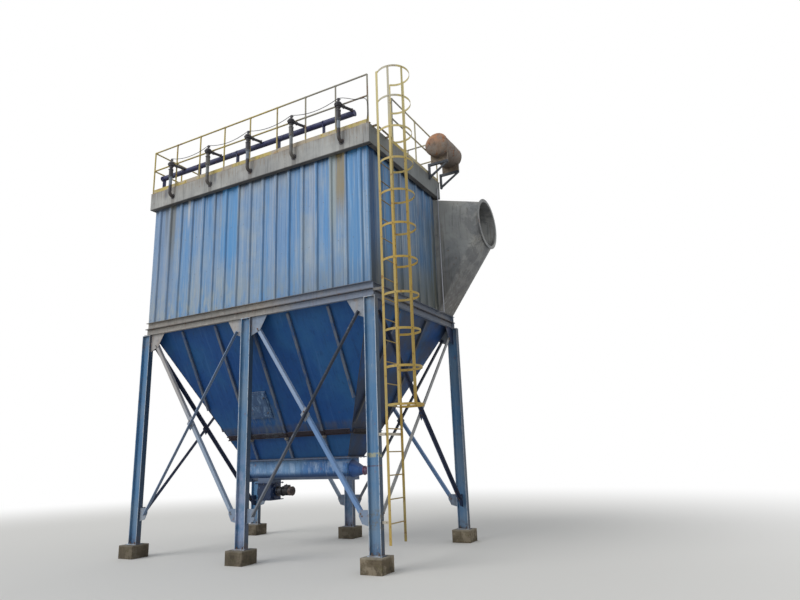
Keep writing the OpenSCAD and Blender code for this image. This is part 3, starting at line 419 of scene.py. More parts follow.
def column_look(g):
    """Rubbed flange edges, runs down the webs, rusty feet and old marks on the right-hand column."""
    row = g.y.abs().min((g.y - DEPTH).abs())
    run = g.streaks(26.0, 1.0, 6.0)
    g.coat(run.step(0.53, 0.7) * 0.4, "93a3b8")
    g.coat(run.step(0.45, 0.25) * 0.45, "33507a")
    scuff = g.grain(14, 14, 3.2)
    g.coat(scuff.step(0.60, 0.68) * 0.5, "a9b0b4")
    g.coat(scuff.step(0.31, 0.26) * 0.6, RUST)
    lilac = g.x.band(BAY, 0.2, 0.05) * g.z.step(2.3, 1.5) * g.blots(4.0, 0.35, 0.6)
    g.coat(lilac * 0.5, "b4b6cc")
    g.coat(row.step(COL_TW, COL_TW / 2 + 0.0005) * 0.25, "486a96")
    # Painted shade: the outer face of each column's right-hand flange is darkened.
    shaded_side = (((g.x / BAY + 0.5).frac() - 0.5) * BAY).step(0.10, 0.12) * g.nx.step(0.5, 0.9)
    g.coat(shaded_side * 0.8, "222c3c")
    edge = row.step(COL_B / 2 - 0.010, COL_B / 2 - 0.002) * g.nx.abs().step(0.5, 0.3)
    g.coat(edge * g.blots(9.0, 0.3, 0.5) * 0.6, "d3d8de")
    blot = g.noise(14, 4, 0.7)
    right = g.x.step(LENGTH - 0.3, LENGTH - 0.2) * g.y.step(0.5, 0.2)
    g.coat(right * g.z.band(1.97, 0.03, 0.02) * blot.step(0.4, 0.52) * 0.8, "a6a585")
    g.coat(right * g.z.band(1.78, 0.005, 0.008) * blot.step(0.35, 0.5) * 0.8, "5a3436")
    g.coat(right * g.z.band(0.87, 0.13, 0.07) * blot.step(0.42, 0.6) * 0.6, "6f6a5c")
    g.coat(g.z.step(BEAM_LO.z - 0.5, BEAM_LO.z - 0.05) * g.blots(5, 0.4, 0.6) * 0.55, "716b68")
    g.coat(g.z.step(BASE_Z + 0.3, BASE_Z) * g.blots(16, 0.4, 0.62) * 0.6, "5b4335")


def beam_look(g):
    """Pale weathered faces with painted shade on the lips and on the faces that look right, bluer towards
    the right-hand end of the front.
    """
    wear = g.grain(5, 5, 16)
    g.coat(wear.step(0.56, 0.66) * 0.4, "71665c")
    g.coat(wear.step(0.44, 0.36) * 0.45, "c4bfb6")
    g.coat(g.x.step(3.3, 4.6) * g.noise(1.5, 3, 0.6).step(0.2, 0.5) * 0.7, "6c7f9b")
    lip = g.z.band(RING_LO.z, 0.012, 0.006).max(g.z.step(RING_HI.z - 0.012, RING_HI.z - 0.004))
    # Painted shade: the flange lips are darkened, then given rusty blots.
    g.coat(lip * 0.7, "494544")
    g.coat(lip * g.blots(12, 0.55, 0.65) * 0.8, "6a4632")
    # Painted shade on the faces that look right.
    g.coat(g.nx.step(0.5, 0.9) * 0.4, "3a3c42")
    g.coat(g.streaks(30, 3.0, 1.0).step(0.56, 0.7) * 0.3, "7a563e")


def brace_look(g):
    """Each brace has its own tint: navy, light blue, grey-blue and weathered grey, with painted shade on the
    faces that look down.
    """
    near, far = g.y, g.y - DEPTH
    side = near.sign() * near.abs().step(0.2, 0.15) + far.sign() * far.abs().step(0.2, 0.15)
    rising = side.step(0.2, -0.2)
    left = g.x.step(BAY + 0.05, BAY - 0.05)
    worn = g.grain(6, 30, 6)
    pale = g.mix(worn.step(0.45, 0.7), "86a0c2", "9da3aa")
    grey = g.mix(g.z.step(2.2, 3.6), "8f9fb2", "a9a39c")
    blue = g.mix(g.z.step(2.4, 3.4), "5f86b6", "8b9fbb")
    navy = g.mix(g.z.step(2.9, 1.2), "1a2639", "767b84")
    navy = g.mix(worn.step(0.56, 0.66) * 0.45, navy, "8a9099")
    g.coat((1.0 - rising) * left * 0.8, grey)
    g.coat((1.0 - rising) * (1.0 - left) * 0.8, blue)
    g.coat(rising * left * 0.85, pale)
    g.coat(rising * (1.0 - left) * 0.96, navy)
    # Painted shade on the faces that look down.
    g.coat(g.nz.step(-0.3, -0.6) * 0.5, "27303f")
    g.coat(g.noise(11, 5, 0.75).step(0.66, 0.72) * 0.5, "6a4a38")


def end_brace_look(g):
    """The outer braces on the ladder's side are bare grey, the others navy."""
    bare = g.x.step(LENGTH - 0.2, LENGTH - 0.1) * g.x.step(LENGTH, LENGTH - 0.004)
    g.coat(bare * 0.9, g.mix(g.grain(20, 6, 6).step(0.4, 0.7), "8d8d8b", "a3a5a6"))


def gusset_look(g):
    """The left-hand head gussets share the beams' grey, the foot gussets stay blue."""
    high = g.z.step(2.6, 3.0)
    g.coat(g.x.step(2.95, 2.8) * high * 0.8, "a8a29b")
    g.coat(g.streaks(16, 2.2, 3.0).step(0.53, 0.66) * high * 0.5, "77604e")
    g.coat(g.x.step(LENGTH - 0.8, LENGTH - 0.6) * high * 0.5, "9d9c9a")
    g.coat(g.noise(5.0, 5, 0.7).step(0.52, 0.64) * 0.4, "6a6f78")


def hopper_look(g, side):
    """Ribs rubbed to grey with painted shade beside them, a rusty brown belt and rim, drips down the slope,
    darker towards the mouth, and dark blotches on the other panels.
    """
    axis = HOPPER_SIDES[side]
    if axis == "x":
        u = g.x - LENGTH / 2
        deep = g.y - MOUTH_Y0 if side == "front" else (DEPTH - MOUTH_Y0) - g.y
    else:
        u = g.y - DEPTH / 2
        deep = g.x - MOUTH_X0 if side == "left" else (MOUTH_X0 + MOUTH_L) - g.x
    fields = RIBS[axis] + 1
    rise = g.z - MOUTH_Z
    v = deep * SLANT_COS + rise * SLANT_SIN
    w = deep * -SLANT_SIN + rise * SLANT_COS
    drift = g.noise(1.0, 5, 0.65, g.vec(u * 9, v * 0.7, w * 0.5))
    g.coat(drift.step(0.52, 0.75) * 0.4, "3d6496")
    g.coat(drift.step(0.45, 0.25) * 0.5, "142f52")
    rib = w.step(0.012, 0.02) * w.step(0.075, 0.07)
    worn = g.noise(1.0, 4, 0.7, g.vec(u * 8, v * 3, w * 8))
    g.coat(rib * worn.step(0.25, 0.55) * 0.75, "59616b")
    g.coat(w.step(0.053, 0.0575) * worn.step(0.35, 0.6) * 0.4, "79797a")
    field = (u / (2 * TOP_HALF[axis] / fields) + fields / 2.0).frac()
    # Painted shade: dark strips on the plate along both sides of each rib.
    g.coat((field - 0.5).abs().step(0.44, 0.475) * (1.0 - rib) * 0.35, "3b4247")
    belt = v.band(BELT_V, 0.051, 0.002) * w.step(0.012, 0.02)
    g.coat(belt * 0.95, "3f363d")
    g.coat(w.step(0.036, 0.045) * belt * 0.85, g.mix(g.blots(6, 0.4, 0.6), "1a161b", "2e2629"))
    above = v.band(BELT_V + 0.13, 0.04, 0.12)
    g.coat(above * (1.0 - belt) * drift.step(0.3, 0.6) * 0.55, "4e4a45")
    g.coat(v.step(0.75, 0.05) * (1.0 - belt) * 0.2, "1d3a68")
    g.coat(v.step(0.05, 0.02) * 0.6, "6d7076")
    if side == "front":
        near = (u - HATCH_U).abs().step(0.62, 0.32) * v.band(HATCH_V - 0.25, 0.45, 0.2)
        g.coat(near * worn.step(0.42, 0.62) * 0.5, "5d6a70")
    else:
        # Dark grey-brown blotches on the rear and end panels: dirt, and painted shade on the right-hand end.
        g.coat(g.noise(1.6, 4, 0.6).step(0.3, 0.62) * 0.7, "3a3733")


def hatch_look(g):
    """Rubbed paint: pale scratches on blue, and dark hollows."""
    rub = g.grain(9, 4, 5, 6, 0.78, 0.5)
    g.coat(rub.step(0.5, 0.62) * 0.65, "7390ae")
    g.coat(rub.step(0.62, 0.70) * 0.7, "b9bfc2")
    g.coat(rub.step(0.40, 0.3) * 0.6, "33383c")


def trough_look(g):
    """Pale brushed scuffs along the round, painted shade on the belly and a grey rim."""
    rub = g.grain(5.0, 2, 2.5, 6, 0.75, 0.3)
    g.coat(rub.step(0.46, 0.6) * g.z.band(1.76, 0.09, 0.05) * 0.6, "a4bbd6")
    brush = g.grain(26, 3, 2.5)
    g.coat(brush.step(0.56, 0.66) * g.z.step(1.90, 1.82) * 0.5, "c2cedb")
    g.coat(brush.step(0.42, 0.32) * 0.4, "3565a0")
    # Painted shade: the trough's lower round is darkened.
    g.coat(g.z.step(1.68, 1.57) * 0.85, "15345f")
    g.coat(g.z.step(1.56, 1.545) * 0.3, "9aa4b0")
    g.coat(g.z.step(MOUTH_Z - 0.05, MOUTH_Z - 0.012) * 0.7, "5d5f66")


def drive_look(g):
    """Bright blue cover, a red case beyond it, and dark oily motors with rusty cowls."""
    valve = g.z.step(1.47, 1.43)
    motor = g.x.step(STAR_HI.x - 0.44, STAR_HI.x - 0.42) * valve
    g.coat(valve * 0.88, "17243b")
    g.coat(motor * 0.9, g.mix(g.noise(8, 3, 0.6).step(0.4, 0.6), "15161a", "35302e"))
    cowl = g.x.step(STAR_HI.x - 0.09, STAR_HI.x - 0.07) * valve
    g.coat(cowl * g.blots(10, 0.3, 0.55) * 0.8, "665042")
    red = g.x.step(DRIVE_HI.x - 0.36, DRIVE_HI.x - 0.34) * g.x.step(DRIVE_HI.x - 0.2, DRIVE_HI.x - 0.22)
    g.coat(red * (1.0 - valve) * 0.8, g.mix(g.blots(9, 0.4, 0.6), "8e3a44", "6a4f56"))
    g.coat(g.x.step(DRIVE_HI.x - 0.22, DRIVE_HI.x - 0.2) * (1.0 - valve) * 0.85, "3b2f33")
    g.coat(g.noise(12, 5, 0.7).step(0.6, 0.68) * 0.5, "7f97b4")


def roof_look(g):
    """Drips down the band from its top edge, dark marks at the drop pipes, painted shade on the right-hand
    end and a painted shadow line along the lower edge.
    """
    drip = g.streaks(24.0, 1.1, 8.0) * 0.6 + g.z.step(BAND_LO.z - 0.2, ROOF_Z) * 0.4
    g.coat(drip.step(0.6, 0.72) * 0.4, "83725f")
    g.coat(g.streaks(36.0, 1.2, 4.0).step(0.56, 0.68) * 0.4, "63656a")
    g.coat(g.noise(1.3, 4, 0.6).step(0.45, 0.65) * 0.4, "c3c4c0")
    under = ((g.x - 0.1) / CHAMBER).frac().band(0.5, 0.03, 0.035)
    under = under * g.z.step(BAND_LO.z + 0.23, BAND_LO.z + 0.13) * g.ny.abs().step(0.5, 0.9)
    g.coat(under * 0.45, "4c4742")
    mark = g.x.band(0.48, 0.03, 0.04).max(g.x.band(2.12, 0.02, 0.03))
    mark = mark * g.z.step(BAND_LO.z + 0.1, BAND_LO.z + 0.3) * g.ny.step(-0.5, -0.9)
    g.coat(mark * 0.6, "5f636e")
    # Painted shade: the faces that look right are darkened.
    g.coat(g.nx.step(0.5, 0.9) * 0.65, "5c6366")
    # Painted shadow: a dark line along the band's lower edge.
    g.coat(g.z.step(BAND_LO.z + 0.022, BAND_LO.z + 0.006) * 0.75, "3b3531")
    crown = g.z.step(ROOF_Z - 0.03, ROOF_Z - 0.008) * (1.0 - g.nz.step(0.3, 0.8))
    g.coat(crown * g.blots(7, 0.4, 0.6) * 0.5, "7b5f4a")


def plenum_look(g):
    """Dull sheet with dark and pale blotches, darker blotches on the inlet's downward faces and a sooty
    foot.
    """
    blot = g.noise(1.5, 5, 0.65, None, 0.4)
    g.coat(blot.step(0.53, 0.63) * 0.5, "62656a")
    g.coat(blot.step(0.45, 0.36) * 0.4, "aeb0ae")
    under = g.x.step(LENGTH + 0.1, LENGTH + 0.5) * g.nz.step(0.1, -0.3)
    g.coat(under * g.noise(3.2, 5, 0.7, None, 0.5).step(0.46, 0.58) * 0.5, "55575c")
    run = g.streaks(15.0, 0.5, 3.0)
    g.coat(run.step(0.54, 0.68) * 0.4, "6b6157")
    foot = g.z.step(WALL_LO.z + 1.5, WALL_LO.z + 0.1)
    g.coat(foot * run.step(0.2, 0.55) * 0.6, "453f3c")


def rail_look(g):
    """Worn yellow at the left, grey towards the right, with a chipped and rusty toe board."""
    g.coat(g.x.step(3.6, 4.9) * g.z.step(ROOF_Z + 0.12, ROOF_Z + 0.2) * 0.8, "8b8b88")
    g.coat(g.y.step(1.2, 2.0) * g.x.step(LENGTH - 0.4, LENGTH - 0.2) * 0.8, "bdb492")
    worn = g.grain(3.2, 3.2, 9)
    toe = g.z.step(ROOF_Z + 0.125, ROOF_Z + 0.115)
    g.coat(toe * worn.step(0.52, 0.6) * 0.85, "b3a692")
    g.coat(toe * worn.step(0.42, 0.34) * 0.75, "9a6a42")
    bare = g.x.band(4.45, 0.6, 0.15).max(g.x.band(1.3, 0.12, 0.1)).max(g.x.band(2.45, 0.1, 0.1))
    g.coat(bare * toe * worn.step(0.3, 0.45) * 0.85, "a59a8e")
    g.coat(g.blots(3.5, 0.58, 0.68) * (1.0 - toe) * 0.7, "7a5236")


def ladder_look(g):
    """Pale straw at the top, stronger yellow lower down, dark worn rungs and rusty spots."""
    g.coat(g.z.step(6.8, 9.0) * 0.8, "d2c68e")
    near = g.y.step(0.02, -0.01) * g.x.step(LAD_HI.x + 0.02, LAD_HI.x + 0.03)
    g.coat(near * g.z.step(8.3, 8.8) * 0.7, "b3b0a6")
    g.coat(g.streaks(30, 1.6, 3.0).step(0.54, 0.68) * 0.3, "8f7c50")
    rung = g.y.band((LAD_LO.y + LAD_HI.y) / 2, 0.262, 0.003)
    rung = rung * g.x.band((LAD_LO.x + LAD_HI.x) / 2, 0.013, 0.002)
    worn = g.noise(9, 4, 0.7)
    g.coat(rung * (0.35 + 0.55 * g.z.step(5.0, 7.5)), g.mix(worn, "4a3a2c", "8a7448"))
    g.coat(worn.step(0.6, 0.68) * 0.7, "7d5836")
    tie = g.x.step(LAD_LO.x + 0.004, LAD_LO.x + 0.002)
    bare = g.z.band(MID_TIE, 0.028, 0.004).max(g.z.band(LOW_TIE, 0.03, 0.004))
    g.coat(tie * bare * 0.85, "b9b4aa")
    g.coat(tie * g.z.band(RING_LO.z - 0.025, 0.028, 0.004) * 0.85, "5f636a")
    g.coat(tie * g.z.band(ROOF_Z - 0.025, 0.028, 0.004) * 0.8, "4a382c")


def drum_look(g):
    """Orange rust at the top of the near end, mottled grey-brown elsewhere, painted shade on the belly."""
    near = g.y.step(DRUM_LO.y + 0.34, DRUM_LO.y + 0.04)
    blot = g.noise(5.0, 5, 0.7)
    high = g.z.step(DRUM_HI.z - 0.42, DRUM_HI.z - 0.14)
    g.coat(near * blot.step(0.4, 0.6) * 0.5, "876a50")
    g.coat(high * near * blot.step(0.32, 0.5) * 0.8, "bd7a48")
    g.coat(high * blot.step(0.45, 0.6) * 0.45, "b5a08a")
    g.coat(g.noise(9.0, 5, 0.75).step(0.54, 0.62) * 0.5, "54483f")
    g.coat(g.streaks(18, 4.0, 2.0).step(0.5, 0.66) * 0.35, "6b4a36")
    # Painted shade: the drum's lower part is darkened.
    g.coat(g.z.step(DRUM_HI.z - 0.55, DRUM_HI.z - 0.8) * 0.6, "35302d")


def bracket_look(g):
    """Dark frames under brown, soiled saddles."""
    saddle = g.z.step(ARM_HI.z - 0.2, ARM_HI.z - 0.19) * g.x.step(BAND_HI.x + 0.06, BAND_HI.x + 0.08)
    g.coat(saddle * 0.85, g.mix(g.blots(7, 0.35, 0.6), "86765f", "6b5d52"))


def drop_look(g):
    """Dark pipes and hoses, with bare grey lengths on some of them."""
    number = g.cells((g.x / CHAMBER).floor() + 5.0)
    bare = g.z.band(ROOF_Z + 0.12, 0.09, 0.03) * g.blots(6, 0.3, 0.5)
    g.coat(bare * number.step(0.3, 0.5) * 0.7, "8d99a6")
    second, fourth = (g.x.band(k * CHAMBER + 0.1, 0.3, 0.1) for k in (1.5, 3.5))
    g.coat(second.max(fourth) * g.blots(4, 0.3, 0.55) * 0.6, "7b7a74")
    g.coat(g.z.step(ROOF_Z - 0.12, ROOF_Z - 0.2) * 0.4, "544a40")


def plinth_look(g):
    """Cast concrete: damp foot, moss, cement stains, board marks, pits; older towards the left."""
    g.coat(((g.z * 11.0).frac() - 0.5).abs().step(0.46, 0.49) * 0.4, "3e382f")
    g.coat(g.z.step(0.22, 0.02) * g.noise(5, 4, 0.6).step(0.25, 0.6) * 0.65, "4a4439")
    blot = g.noise(3.3, 5, 0.7)
    g.coat(blot.step(0.5, 0.6) * 0.6, "968b78")
    g.coat(blot.step(0.46, 0.36) * 0.65, "3f382c")
    moss = g.noise(5.5, 5, 0.75, None, 0.4)
    g.coat(moss.step(0.55, 0.63) * 0.55, "5f5a3e")
    # Painted highlight: a pale strip along the upper edge of the plinths.
    lip = g.z.step(PLINTH_HI.z - 0.035, PLINTH_HI.z - 0.008) * moss.step(0.3, 0.5)
    g.coat(lip * 0.45, "a59e90")
    g.coat(g.x.step(5.0, 3.0) * 0.45, "453f38")
    g.coat(g.noise(60, 2, 0.5).step(0.66, 0.7) * 0.6, "2f2a24")


def dress():
    """Paint every CAD node, and make the paints that only detail pieces have."""
    paint("casing_front", "7098c4", "93a6b8", "front_wall", runs=True, extra=front_look, rough=0.5,
          rust=0.2, fade=0.45)
    # The end and rear walls take a darker copy of the front wall's paint: painted shade.
    paint("casing_side_shaded", "527aa3", "82919e", "left_wall right_wall rear_wall", runs=True,
          extra=side_look, rough=0.5, seed=3.1)
    paint("plenum", "979999", "a9a9a5", "plenum_back plenum_left_end plenum_roof inlet_transition"
          " inlet_flange outlet_stub", fade=0.4, rough=0.65, seed=5.0, streak=0.5, extra=plenum_look)
    paint("roof", "9b9c9b", "b0b0ac", "roof_deck roof_lids long_roof_bands end_roof_bands", rust=0.2,
          chips=0.5, streak=0.5, rough=0.7, seed=7.7, extra=roof_look)
    paint("rails", "c9b35c", "b5a878", "front_handrail rear_handrail left_handrail right_handrail",
          rust=0.4, chips=0.7, rough=0.6, seed=9.1, extra=rail_look)
    paint("header", "34386a", "4a4f72", "air_header header_stands", rough=0.5, seed=2.2, chips=0.5)
    paint("valves", "26262e", "45434a", "pulse_valves", rough=0.5, seed=4.2, rust=0.3, chips=0.6,
          fade=0.6)
    paint("drop_pipes", "2a2a30", "47454a", "drop_pipes", rough=0.5, seed=4.9, rust=0.3, chips=0.5,
          extra=drop_look)
    paint("ladder", "bd9d49", "b4a266", "ladder cage_hoops cage_straps ladder_brackets", rust=0.4,
          chips=0.6, seed=1.3, extra=ladder_look)
    for side in HOPPER_SIDES:
        paint("hopper_" + side, "0f4b8c", "1f5a90", "hopper_" + side, seed=6.4, rust=0.1, dust=0.3,
              spec=0.25, extra=lambda g, side=side: hopper_look(g, side))
    paint("hatch", "2b4c78", "4a6688", "access_hatch", fade=0.6, chips=0.6, rough=0.6, seed=8.8,
          extra=hatch_look)
    paint("conveyor", "4478b4", "6f98c2", "screw_trough", chips=0.5, rough=0.5, seed=3.9,
          extra=trough_look)
    paint("drives", "1f58a8", "3b6296", "rotary_valve conveyor_drive", rough=0.45, seed=0.7,
          extra=drive_look)
    paint("columns", "5083ad", "7893a9", "columns", chips=0.5, rough=0.5, seed=2.9, extra=column_look)
    paint("beams", "9a9894", "aca69e", "long_support_beams end_support_beams long_base_rails"
          " end_base_rails", chips=0.4, rust=0.3, rough=0.6, seed=4.8, extra=beam_look)
    paint("braces", "8093b0", "9aa5b4", "long_braces", chips=0.4, seed=5.9, extra=brace_look)
    paint("gussets", "7d8fa8", "98a1ab", "long_gussets", chips=0.6, rough=0.6, seed=5.2,
          extra=gusset_look)
    paint("end_braces", "22304f", "3c4762", "end_braces end_gussets", chips=0.5, seed=6.9,
          extra=end_brace_look)
    paint("drum", "776c63", "8b8178", "air_receiver", rust=0.8, chips=0.9, rough=0.7, seed=7.1,
          extra=drum_look)
    paint("bracket", "343a44", "4a5058", "receiver_bracket", rust=0.6, chips=0.6, seed=1.9,
          extra=bracket_look)
    paint("conduit", "a9abb4", "b9bbc2", "corner_conduit", rough=0.4, seed=0.3)
    paint("cable", "1b1c20", "2c2d31", "signal_cable", rust=0.0, chips=0.0, rough=0.6, seed=1.1)
    paint("concrete", "6c6150", "807663", "plinths", rust=0.0, chips=0.2, rough=0.9, seed=3.3,
          bump=0.6, spec=0.2, extra=plinth_look)
    paint("bolts_zinc", "85878a", "6d6660", rust=0.9, chips=1.0, rough=0.45, seed=0.9)
    paint("bolts_rusty", "5d4434", "75685e", rust=0.9, chips=1.0, rough=0.7, seed=2.7)
    paint("dark_seams", "22324f", "3c4452", rust=0.1, chips=0.4, rough=0.6, seed=4.6)
    paint("dark_steel", "272225", "3b3538", rust=0.2, chips=0.5, rough=0.6, seed=3.7)
    paint("rib_shoes", "6f6c6a", "86827c", rust=0.3, chips=0.5, rough=0.6, seed=5.7)
    paint("weld_seams", "3c4c66", "6d6a66", rust=0.8, chips=1.2, rough=0.6, seed=4.4)


# Detail pieces, built in grid metres

def facing(point, normal, turn=0.0):
    """A matrix at a grid point whose +Z is the normal."""
    quat = Vector(normal).normalized().to_track_quat("Z", "Y")
    return Matrix.Translation(point) @ quat.to_matrix().to_4x4() @ Matrix.Rotation(turn, 4, "Z")


def circle(count, r, first=0.5):
    """Evenly spaced points of a circle; first says how many spaces round the first one is."""
    angles = [(k + first) * tau / count for k in range(count)]
    return [(r * cos(a), r * sin(a)) for a in angles]


def corners(a, b):
    return [(x, y) for x in (-a, a) for y in (-b, b)]


class Build:
    """One detail piece, whose shapes are added in grid metres."""

    def __init__(self, seed):
        self.bm = bmesh.new()
        self.rng = random.Random(seed)

    def skin(self, rings, closed=False):
        """A skin over rings of points with equal counts, capped unless it closes on itself."""
        made = [[self.bm.verts.new(p) for p in ring] for ring in rings]
        n = len(made[0])
        for a, b in list(zip(made, made[1:])) + ([(made[-1], made[0])] if closed else []):
            for i in range(n):
                self.bm.faces.new((a[i], a[(i + 1) % n], b[(i + 1) % n], b[i]))
        if not closed:
            self.bm.faces.new(list(reversed(made[0])))
            self.bm.faces.new(made[-1])

    def turned(self, place, profile, sides=16):
        """A round or many-sided body around the place's +Z: profile is a list of (radius, height)."""
        self.skin([[place @ Vector((x, y, h)) for x, y in circle(sides, r, 0)] for r, h in profile])

    def bolt(self, point, normal, d, tip=0.0):
        """A hexagon head or nut on a washer; tip is the thread that stands past a nut."""
        place = facing(point, normal, self.rng.uniform(0, pi))
        w = 0.14 * d
        self.turned(place, [(1.02 * d, -0.0008), (1.06 * d, 0.4 * w), (1.02 * d, w)], 18)
        self.turned(place, [(0.82 * d, 0.9 * w), (0.87 * d, w + 0.06 * d), (0.87 * d, w + 0.52 * d),
                            (0.74 * d, w + 0.62 * d)], 6)
        if tip:
            self.turned(place, [(0.5 * d, w + 0.5 * d), (0.5 * d, w + 0.6 * d + tip - 0.1 * d),
                                (0.4 * d, w + 0.6 * d + tip)], 12)
        else:
            self.turned(place, [(0.55 * d, w + 0.6 * d), (0.42 * d, w + 0.66 * d)], 12)

    def through(self, point, normal, d, grip, tip):
        """A head at the point and its nut behind the plates, grip away."""
        n = Vector(normal).normalized()
        self.bolt(point, n, d)
        self.bolt(Vector(point) - n * grip, -n, d, tip)

    def block(self, place, lo, hi, chamfer):
        """A box with broken edges in the place's own axes."""
        (x0, y0, z0), (x1, y1, z1) = lo, hi
        c = min(chamfer, (x1 - x0) / 3, (y1 - y0) / 3, (z1 - z0) / 3)

        def ring(z, a, k):
            """The box's outline drawn in by a, with its corners cut by k."""
            e = a + k
            return [place @ Vector((x, y, z)) for x, y in (
                (x0 + e, y0 + a), (x1 - e, y0 + a), (x1 - a, y0 + e), (x1 - a, y1 - e),
                (x1 - e, y1 - a), (x0 + e, y1 - a), (x0 + a, y1 - e), (x0 + a, y0 + e))]
        self.skin([ring(z0, c, 0.3 * c), ring(z0 + c, 0, c), ring(z1 - c, 0, c), ring(z1, c, 0.3 * c)])

    def slab(self, p, q, chamfer):
        """A box between two opposite corners on the grid."""
        self.block(Matrix(), [min(k) for k in zip(p, q)], [max(k) for k in zip(p, q)], chamfer)

    def tube(self, path, radius, sides=8, closed=False, lump=0.0):
        """A round bar or weld bead along a path of grid points; lump roughens its radius."""
        n = len(path)
        rings = []
        side = None
        for i, p in enumerate(path):
            a = path[(i - 1) % n] if closed else path[max(i - 1, 0)]
            b = path[(i + 1) % n] if closed else path[min(i + 1, n - 1)]
            t = (b - a).normalized()
            side = t.orthogonal() if side is None else side - t * side.dot(t)
            side.normalize()
            up = t.cross(side)
            r = radius * (1 + lump * self.rng.uniform(-1, 1))
            rings.append([p + (side * x + up * y) * r for x, y in circle(sides, 1, 0)])
        self.skin(rings, closed)

    def bead(self, a, b, radius, step=0.02):
        """A straight weld bead from a to b."""
        a, b = Vector(a), Vector(b)
        count = max(2, int((b - a).length / step))
        self.tube([a.lerp(b, i / count) for i in range(count + 1)], radius, 6, lump=0.16)

    def hoop(self, centre, normal, r, radius, sides=6, count=40, lump=0.12):
        """A weld bead or round bar on a circle about a centre."""
        place = facing(centre, normal)
        self.tube([place @ Vector((x, y, 0)) for x, y in circle(count, r, 0)], radius, sides, True, lump)

    def make(self, name, look, slot, angle=35):
        bmesh.ops.remove_doubles(self.bm, verts=self.bm.verts, dist=0.00005)
        bmesh.ops.recalc_face_normals(self.bm, faces=self.bm.faces)
        mesh = bpy.data.meshes.new(name)
        self.bm.to_mesh(mesh)
        self.bm.free()
        mesh.transform(Matrix.Translation(at(0, 0, 0)))
        mesh.shade_smooth()
        mesh.set_sharp_from_angle(angle=radians(angle))
        mesh.materials.append(LOOKS[look])
        obj = new_object(name, mesh)
        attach(obj, "root")


def flip(axis, u, v, z):
    """A point u along a row, v off it: rows along x or along y."""
    return Vector((u, v, z)) if axis == "x" else Vector((v, u, z))


def frame_details():
    """Bolts of the braces, base plates and beam ring, and the frame's weld beads."""
    # Braced panels: the row's axis and place, the panel's ends, and how far inside them the braces end
    rows = [("x", y, k * BAY, (k + 1) * BAY, 0.275) for y in (0, DEPTH) for k in (0, 1)]
    ends = [("y", x, 0, DEPTH, 0.214) for x in (0, LENGTH)]
    foot_z, head_z, leg, flange = 0.9, BEAM_LO.z - 0.25, 0.013, 0.009
    for name, look, slot, lines in (("brace_bolts", "bolts_zinc", "brace_paint", rows),
                                    ("end_brace_bolts", "bolts_rusty", "end_brace_paint", ends)):
        b = Build(3)
        for axis, row, lo, hi, inset in lines:
            for side, (p, q) in ((-1, (lo + inset, hi - inset)), (1, (hi - inset, lo + inset))):
                foot, head = Vector((p, foot_z)), Vector((q, head_z))
                d = (head - foot).normalized()
                mid = (foot + head) / 2
                for hole in (foot + d * 0.03, foot + d * 0.075, head - d * 0.025, head - d * 0.065,
                             mid + d * 0.065, mid - d * 0.065):
                    b.through(flip(axis, hole[0], row + side * leg, hole[1]),
                              flip(axis, 0, side, 0), 0.016, 0.018, 0.008)
        b.make(name, look, slot)

    b = Build(4)
    for x, y in COLUMNS:
        for dx, dy in corners(0.072, 0.046):
            b.bolt((x + dx, y + dy, BASE_Z), UP, 0.02, 0.03)
    b.make("anchor_nuts", "bolts_rusty", "column_paint")

    b = Build(5)
    for x, y in COLUMNS:
        for dx in (-0.075, 0.075):
            b.through((x + dx, y + (0.035 if y else -0.035), BEAM_LO.z + flange), UP,
                      0.016, 0.021, 0.008)
    holes = [(0.2 + i * (LENGTH - 0.4) / 11, y) for y in (BEAM_LO.y + 0.03, BEAM_HI.y - 0.03)
             for i in range(12)]
    holes += [(x, 0.3 + i * (DEPTH - 0.6) / 6) for x in (BEAM_LO.x + 0.03, BEAM_HI.x - 0.03)
              for i in range(7)]
    for x, y in holes:
        b.through((x, y, RING_LO.z + flange), UP, 0.014, 0.018, 0.007)
    b.make("ring_bolts", "bolts_rusty", "beam_paint")

    # Columns on their base plates, then gussets on the columns
    b = Build(6)
    hx, hy, tw = COL_H / 2, COL_B / 2, COL_TW / 2
    for x, y in COLUMNS:
        for sx in (-1, 1):
            b.bead((x + sx * hx, y - hy, BASE_Z), (x + sx * hx, y + hy, BASE_Z), 0.006)
            inner = x + sx * (hx - COL_TF)
            for sy in (-1, 1):
                b.bead((inner, y + sy * tw, BASE_Z), (inner, y + sy * hy, BASE_Z), 0.005)
        for sy in (-1, 1):
            b.bead((x - hx + COL_TF, y + sy * tw, BASE_Z), (x + hx - COL_TF, y + sy * tw, BASE_Z), 0.005)
    for y in (0, DEPTH):
        for x in (hx, BAY - hx, BAY + hx, 2 * BAY - hx):
            for dy in (-0.005, 0.005):
                b.bead((x, y + dy, BEAM_LO.z - 0.395), (x, y + dy, BEAM_LO.z - 0.01), 0.005)
                b.bead((x, y + dy, 0.76), (x, y + dy, 1.025), 0.005)
    b.make("frame_welds", "weld_seams", "column_paint", 60)


def plate_at(side, u, v, w):
    """A grid point on a hopper panel: u along it, v up the slope, w out of it."""
    deep = v * SLANT_COS - w * SLANT_SIN
    x, y = {"front": (LENGTH / 2 + u, MOUTH_Y0 + deep), "rear": (LENGTH / 2 + u, DEPTH - MOUTH_Y0 - deep),
            "left": (MOUTH_X0 + deep, DEPTH / 2 - u),
            "right": (MOUTH_X0 + MOUTH_L - deep, DEPTH / 2 - u)}[side]
    return Vector((x, y, MOUTH_Z + v * SLANT_SIN + w * SLANT_COS))


def normal_of(side):
    """A hopper panel's outward normal."""
    out = {"front": FRONT, "rear": BACK, "left": LEFT, "right": RIGHT}[side]
    return out * SLANT_SIN + UP * SLANT_COS


def half_at(axis, v):
    return LOW_HALF[axis] + (TOP_HALF[axis] - LOW_HALF[axis]) * v / SLANT


